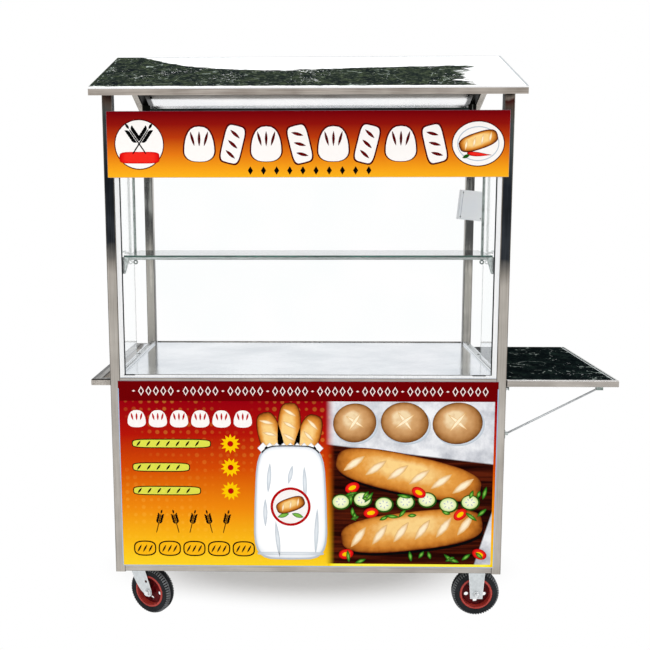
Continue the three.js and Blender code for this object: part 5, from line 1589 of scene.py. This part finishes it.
for x, z, turn in (
    (138, -38, 24), (342, -52, -30), (470, -122, 40), (196, -118, 10), (120, -252, 12), (532, -250, -24),
):
    sign.stamp(SCARLET, (x, z), (46, 32), disc, turn, 16, 28, (0.86, 0.6), lit=0.3)
    sign.stamp(YELLOW, (x, z), (24, 13), disc, turn, 17, 18)
for i in range(30):
    along, band = dice.random(), (-66, -128, -262)[i % 3]
    spot = (94 + 450 * along, band + 26 * (dice.random() - 0.5))
    sign.stamp(GREEN, spot, (24 + 22 * dice.random(), 12), leaf, 360 * dice.random(), 18, 16, (0.6, 0.3))
print("picture printed")

# %% [markdown]
# A yellow line closes the picture from below, and a thin pale blue margin runs along the sides and the
# foot of the board, where the print ends short of the cut. Both are nearly square strips.

# %% Borders of the sign
MARGIN = 2.4
half_x, half_z = (SIGN_HIGH.x - SIGN_LOW.x) / 2 / MM, (SIGN_HIGH.z - SIGN_LOW.z) / 2 / MM
left_end, right_end, low_end = PICTURE[:3]
sign.stamp(YELLOW, ((left_end + right_end) / 2, low_end - 4), (right_end - left_end + 12, 8), strip,
           sides=16, rings=(0.9,))
for x, z, width, height in (
    (-half_x + MARGIN / 2, -10, MARGIN, 2 * half_z - 24),
    (half_x - MARGIN / 2, -10, MARGIN, 2 * half_z - 24),
    (0, -half_z + MARGIN / 2, 2 * half_x, MARGIN),
):
    sign.stamp(SKY, (x, z), (width, height), strip, sides=16)
sign.done("sign_motifs", "sign_print")
print("sign printed")

# %% [markdown]
# ## The studio floor
# A large pale floor takes the cart's soft shadow. It shines by itself for the camera and for mirrors
# and glass, so that it runs into the white background, and does so least in an oval under the cart,
# where the shadow shows. What counts as seen is asked of the Light Path node, because the floor must
# not light the cart as well.

# %% Floor
OVAL_PLACE, OVAL_SCALE = (0.12, -0.26, 0), (0.85, 1.9, 1)
OVAL_INNER, OVAL_OUTER = 0.3, 0.68  # in the oval's own measure, where the floor starts and ends to fade
GLOW_UNDER_CART = 0.28
FLOOR_HALF = 14


def seen_rays(tree):
    """1 for rays from the camera, off a mirror or through glass, and 0 for the rest."""
    rays = node(tree, "LightPath").outputs
    seen = node(tree, "Math", {0: rays["Is Camera Ray"], 1: rays["Is Glossy Ray"]}, operation="ADD")
    return node(tree, "Math", {0: seen, 1: rays["Is Transmission Ray"]}, operation="ADD", use_clamp=True)


floor_finish, tree, place = begin("matt white studio floor")
seen = seen_rays(tree)
oval = node(tree, "Mapping", {"Vector": place, "Location": OVAL_PLACE, "Scale": OVAL_SCALE})
distance = node(tree, "VectorMath", {0: oval}, operation="LENGTH").outputs["Value"]
fade = node(tree, "MapRange", {
    "Value": distance, "From Min": OVAL_INNER, "From Max": OVAL_OUTER,
    "To Min": GLOW_UNDER_CART, "To Max": 1.0,
}, interpolation_type="SMOOTHSTEP")
shining = node(tree, "Math", {0: seen, 1: fade}, operation="MULTIPLY")
fine = node(tree, "TexNoise", {"Vector": place, "Scale": 40.0})
pale = node(tree, "ValToRGB", {"Fac": fine}, [(0.3, "#F6F6F6"), (0.7, "#FAFAFA")])
matt = node(tree, "BsdfDiffuse", {"Color": pale})
glow = node(tree, "Emission", {"Color": (1, 1, 1, 1), "Strength": 1.0})
node(tree, "OutputMaterial", {"Surface": node(tree, "MixShader", {0: shining, 1: matt, 2: glow})})
bm = bmesh.new()
bmesh.ops.create_grid(bm, x_segments=8, y_segments=8, size=FLOOR_HALF)
mesh = bpy.data.meshes.new("studio_floor")
bm.to_mesh(mesh)
bm.free()
mesh.materials.append(floor_finish)
studio_floor = bpy.data.objects.new("studio_floor", mesh)
bpy.context.scene.collection.objects.link(studio_floor)
print("floor laid,", 2 * FLOOR_HALF, "m wide")

# %% [markdown]
# ## World and lamps
# The world is white wherever it is seen, and dimmer for matt surfaces, so that white print and plastic
# don't burn out. Three big square lamps stand in for softboxes: one in front at the left, one at the
# right, and one overhead. Big lamps give soft shadows and long smooth highlights on tube.

# %% World and lamps
WORLD_FOR_MATT = 0.62
scene = bpy.context.scene
scene.world = bpy.data.worlds.new("white studio")
scene.world.use_nodes = True
tree = scene.world.node_tree
tree.nodes.clear()
level = node(tree, "Math", {
    0: seen_rays(tree), 1: 1 - WORLD_FOR_MATT, 2: WORLD_FOR_MATT,
}, operation="MULTIPLY_ADD")
sky = node(tree, "Background", {"Color": (1, 1, 1, 1), "Strength": level})
node(tree, "OutputWorld", {"Surface": sky})


def soft_lamp(name, place, towards, size, watts):
    """A square lamp of so many metres that looks towards a point."""
    data = bpy.data.lights.new(name, "AREA")
    data.shape, data.size, data.energy = "SQUARE", size, watts
    lamp = bpy.data.objects.new(name, data)
    lamp.location = place
    lamp.rotation_euler = (Vector(towards) - Vector(place)).to_track_quat("-Z", "Y").to_euler()
    scene.collection.objects.link(lamp)
    return lamp


softbox_front = soft_lamp("softbox_front", (-1.6, -3.4, 2.9), (0, 0, 0.8), 2.4, 62)
softbox_front.visible_glossy = False  # its mirror image would burn out part of the eave
soft_lamp("softbox_right", (3.2, -1.8, 2.6), (0, 0, 0.8), 2.0, 30)
soft_lamp("softbox_top", (0, 0.3, 4.2), (0, 0, 0), 2.6, 60)
scene.view_settings.view_transform = "Standard"

# %% [markdown]
# ## Camera
# The camera stands where the photograph was taken from, at the height of the case's upper half and
# 2.7 m before the middle of the cart. Its place, turns and focal length were solved from the edges of
# the body, whose size is known. The solution is in pixels of a frame 650 wide, and Blender takes
# millimetres of sensor, so the same ratio turns both over. The small shift frames the picture without
# turning the camera.

# %% Camera
FRAME_PIXELS, SENSOR = 650, 36
FOCAL_PIXELS = 817.416
SHIFT_PIXELS = (27.172, -30.035)
CAMERA_PLACE = (-0.1194, -2.7231, 1.3546)
YAW, PITCH, ROLL = (math.radians(angle) for angle in (-1.150, 7.204, -0.091))
camera_data = bpy.data.cameras.new("studio_camera")
camera_data.sensor_width = SENSOR
camera_data.lens = FOCAL_PIXELS * SENSOR / FRAME_PIXELS
camera_data.shift_x, camera_data.shift_y = (pixels / FRAME_PIXELS for pixels in SHIFT_PIXELS)
camera = bpy.data.objects.new("studio_camera", camera_data)
camera.matrix_world = (
    Matrix.Translation(CAMERA_PLACE) @ Matrix.Rotation(-YAW, 4, "Z")
    @ Matrix.Rotation(math.pi / 2 - PITCH, 4, "X") @ Matrix.Rotation(ROLL, 4, "Z")
)
scene.collection.objects.link(camera)
scene.camera = camera
print("camera lens", round(camera_data.lens, 2), "mm")
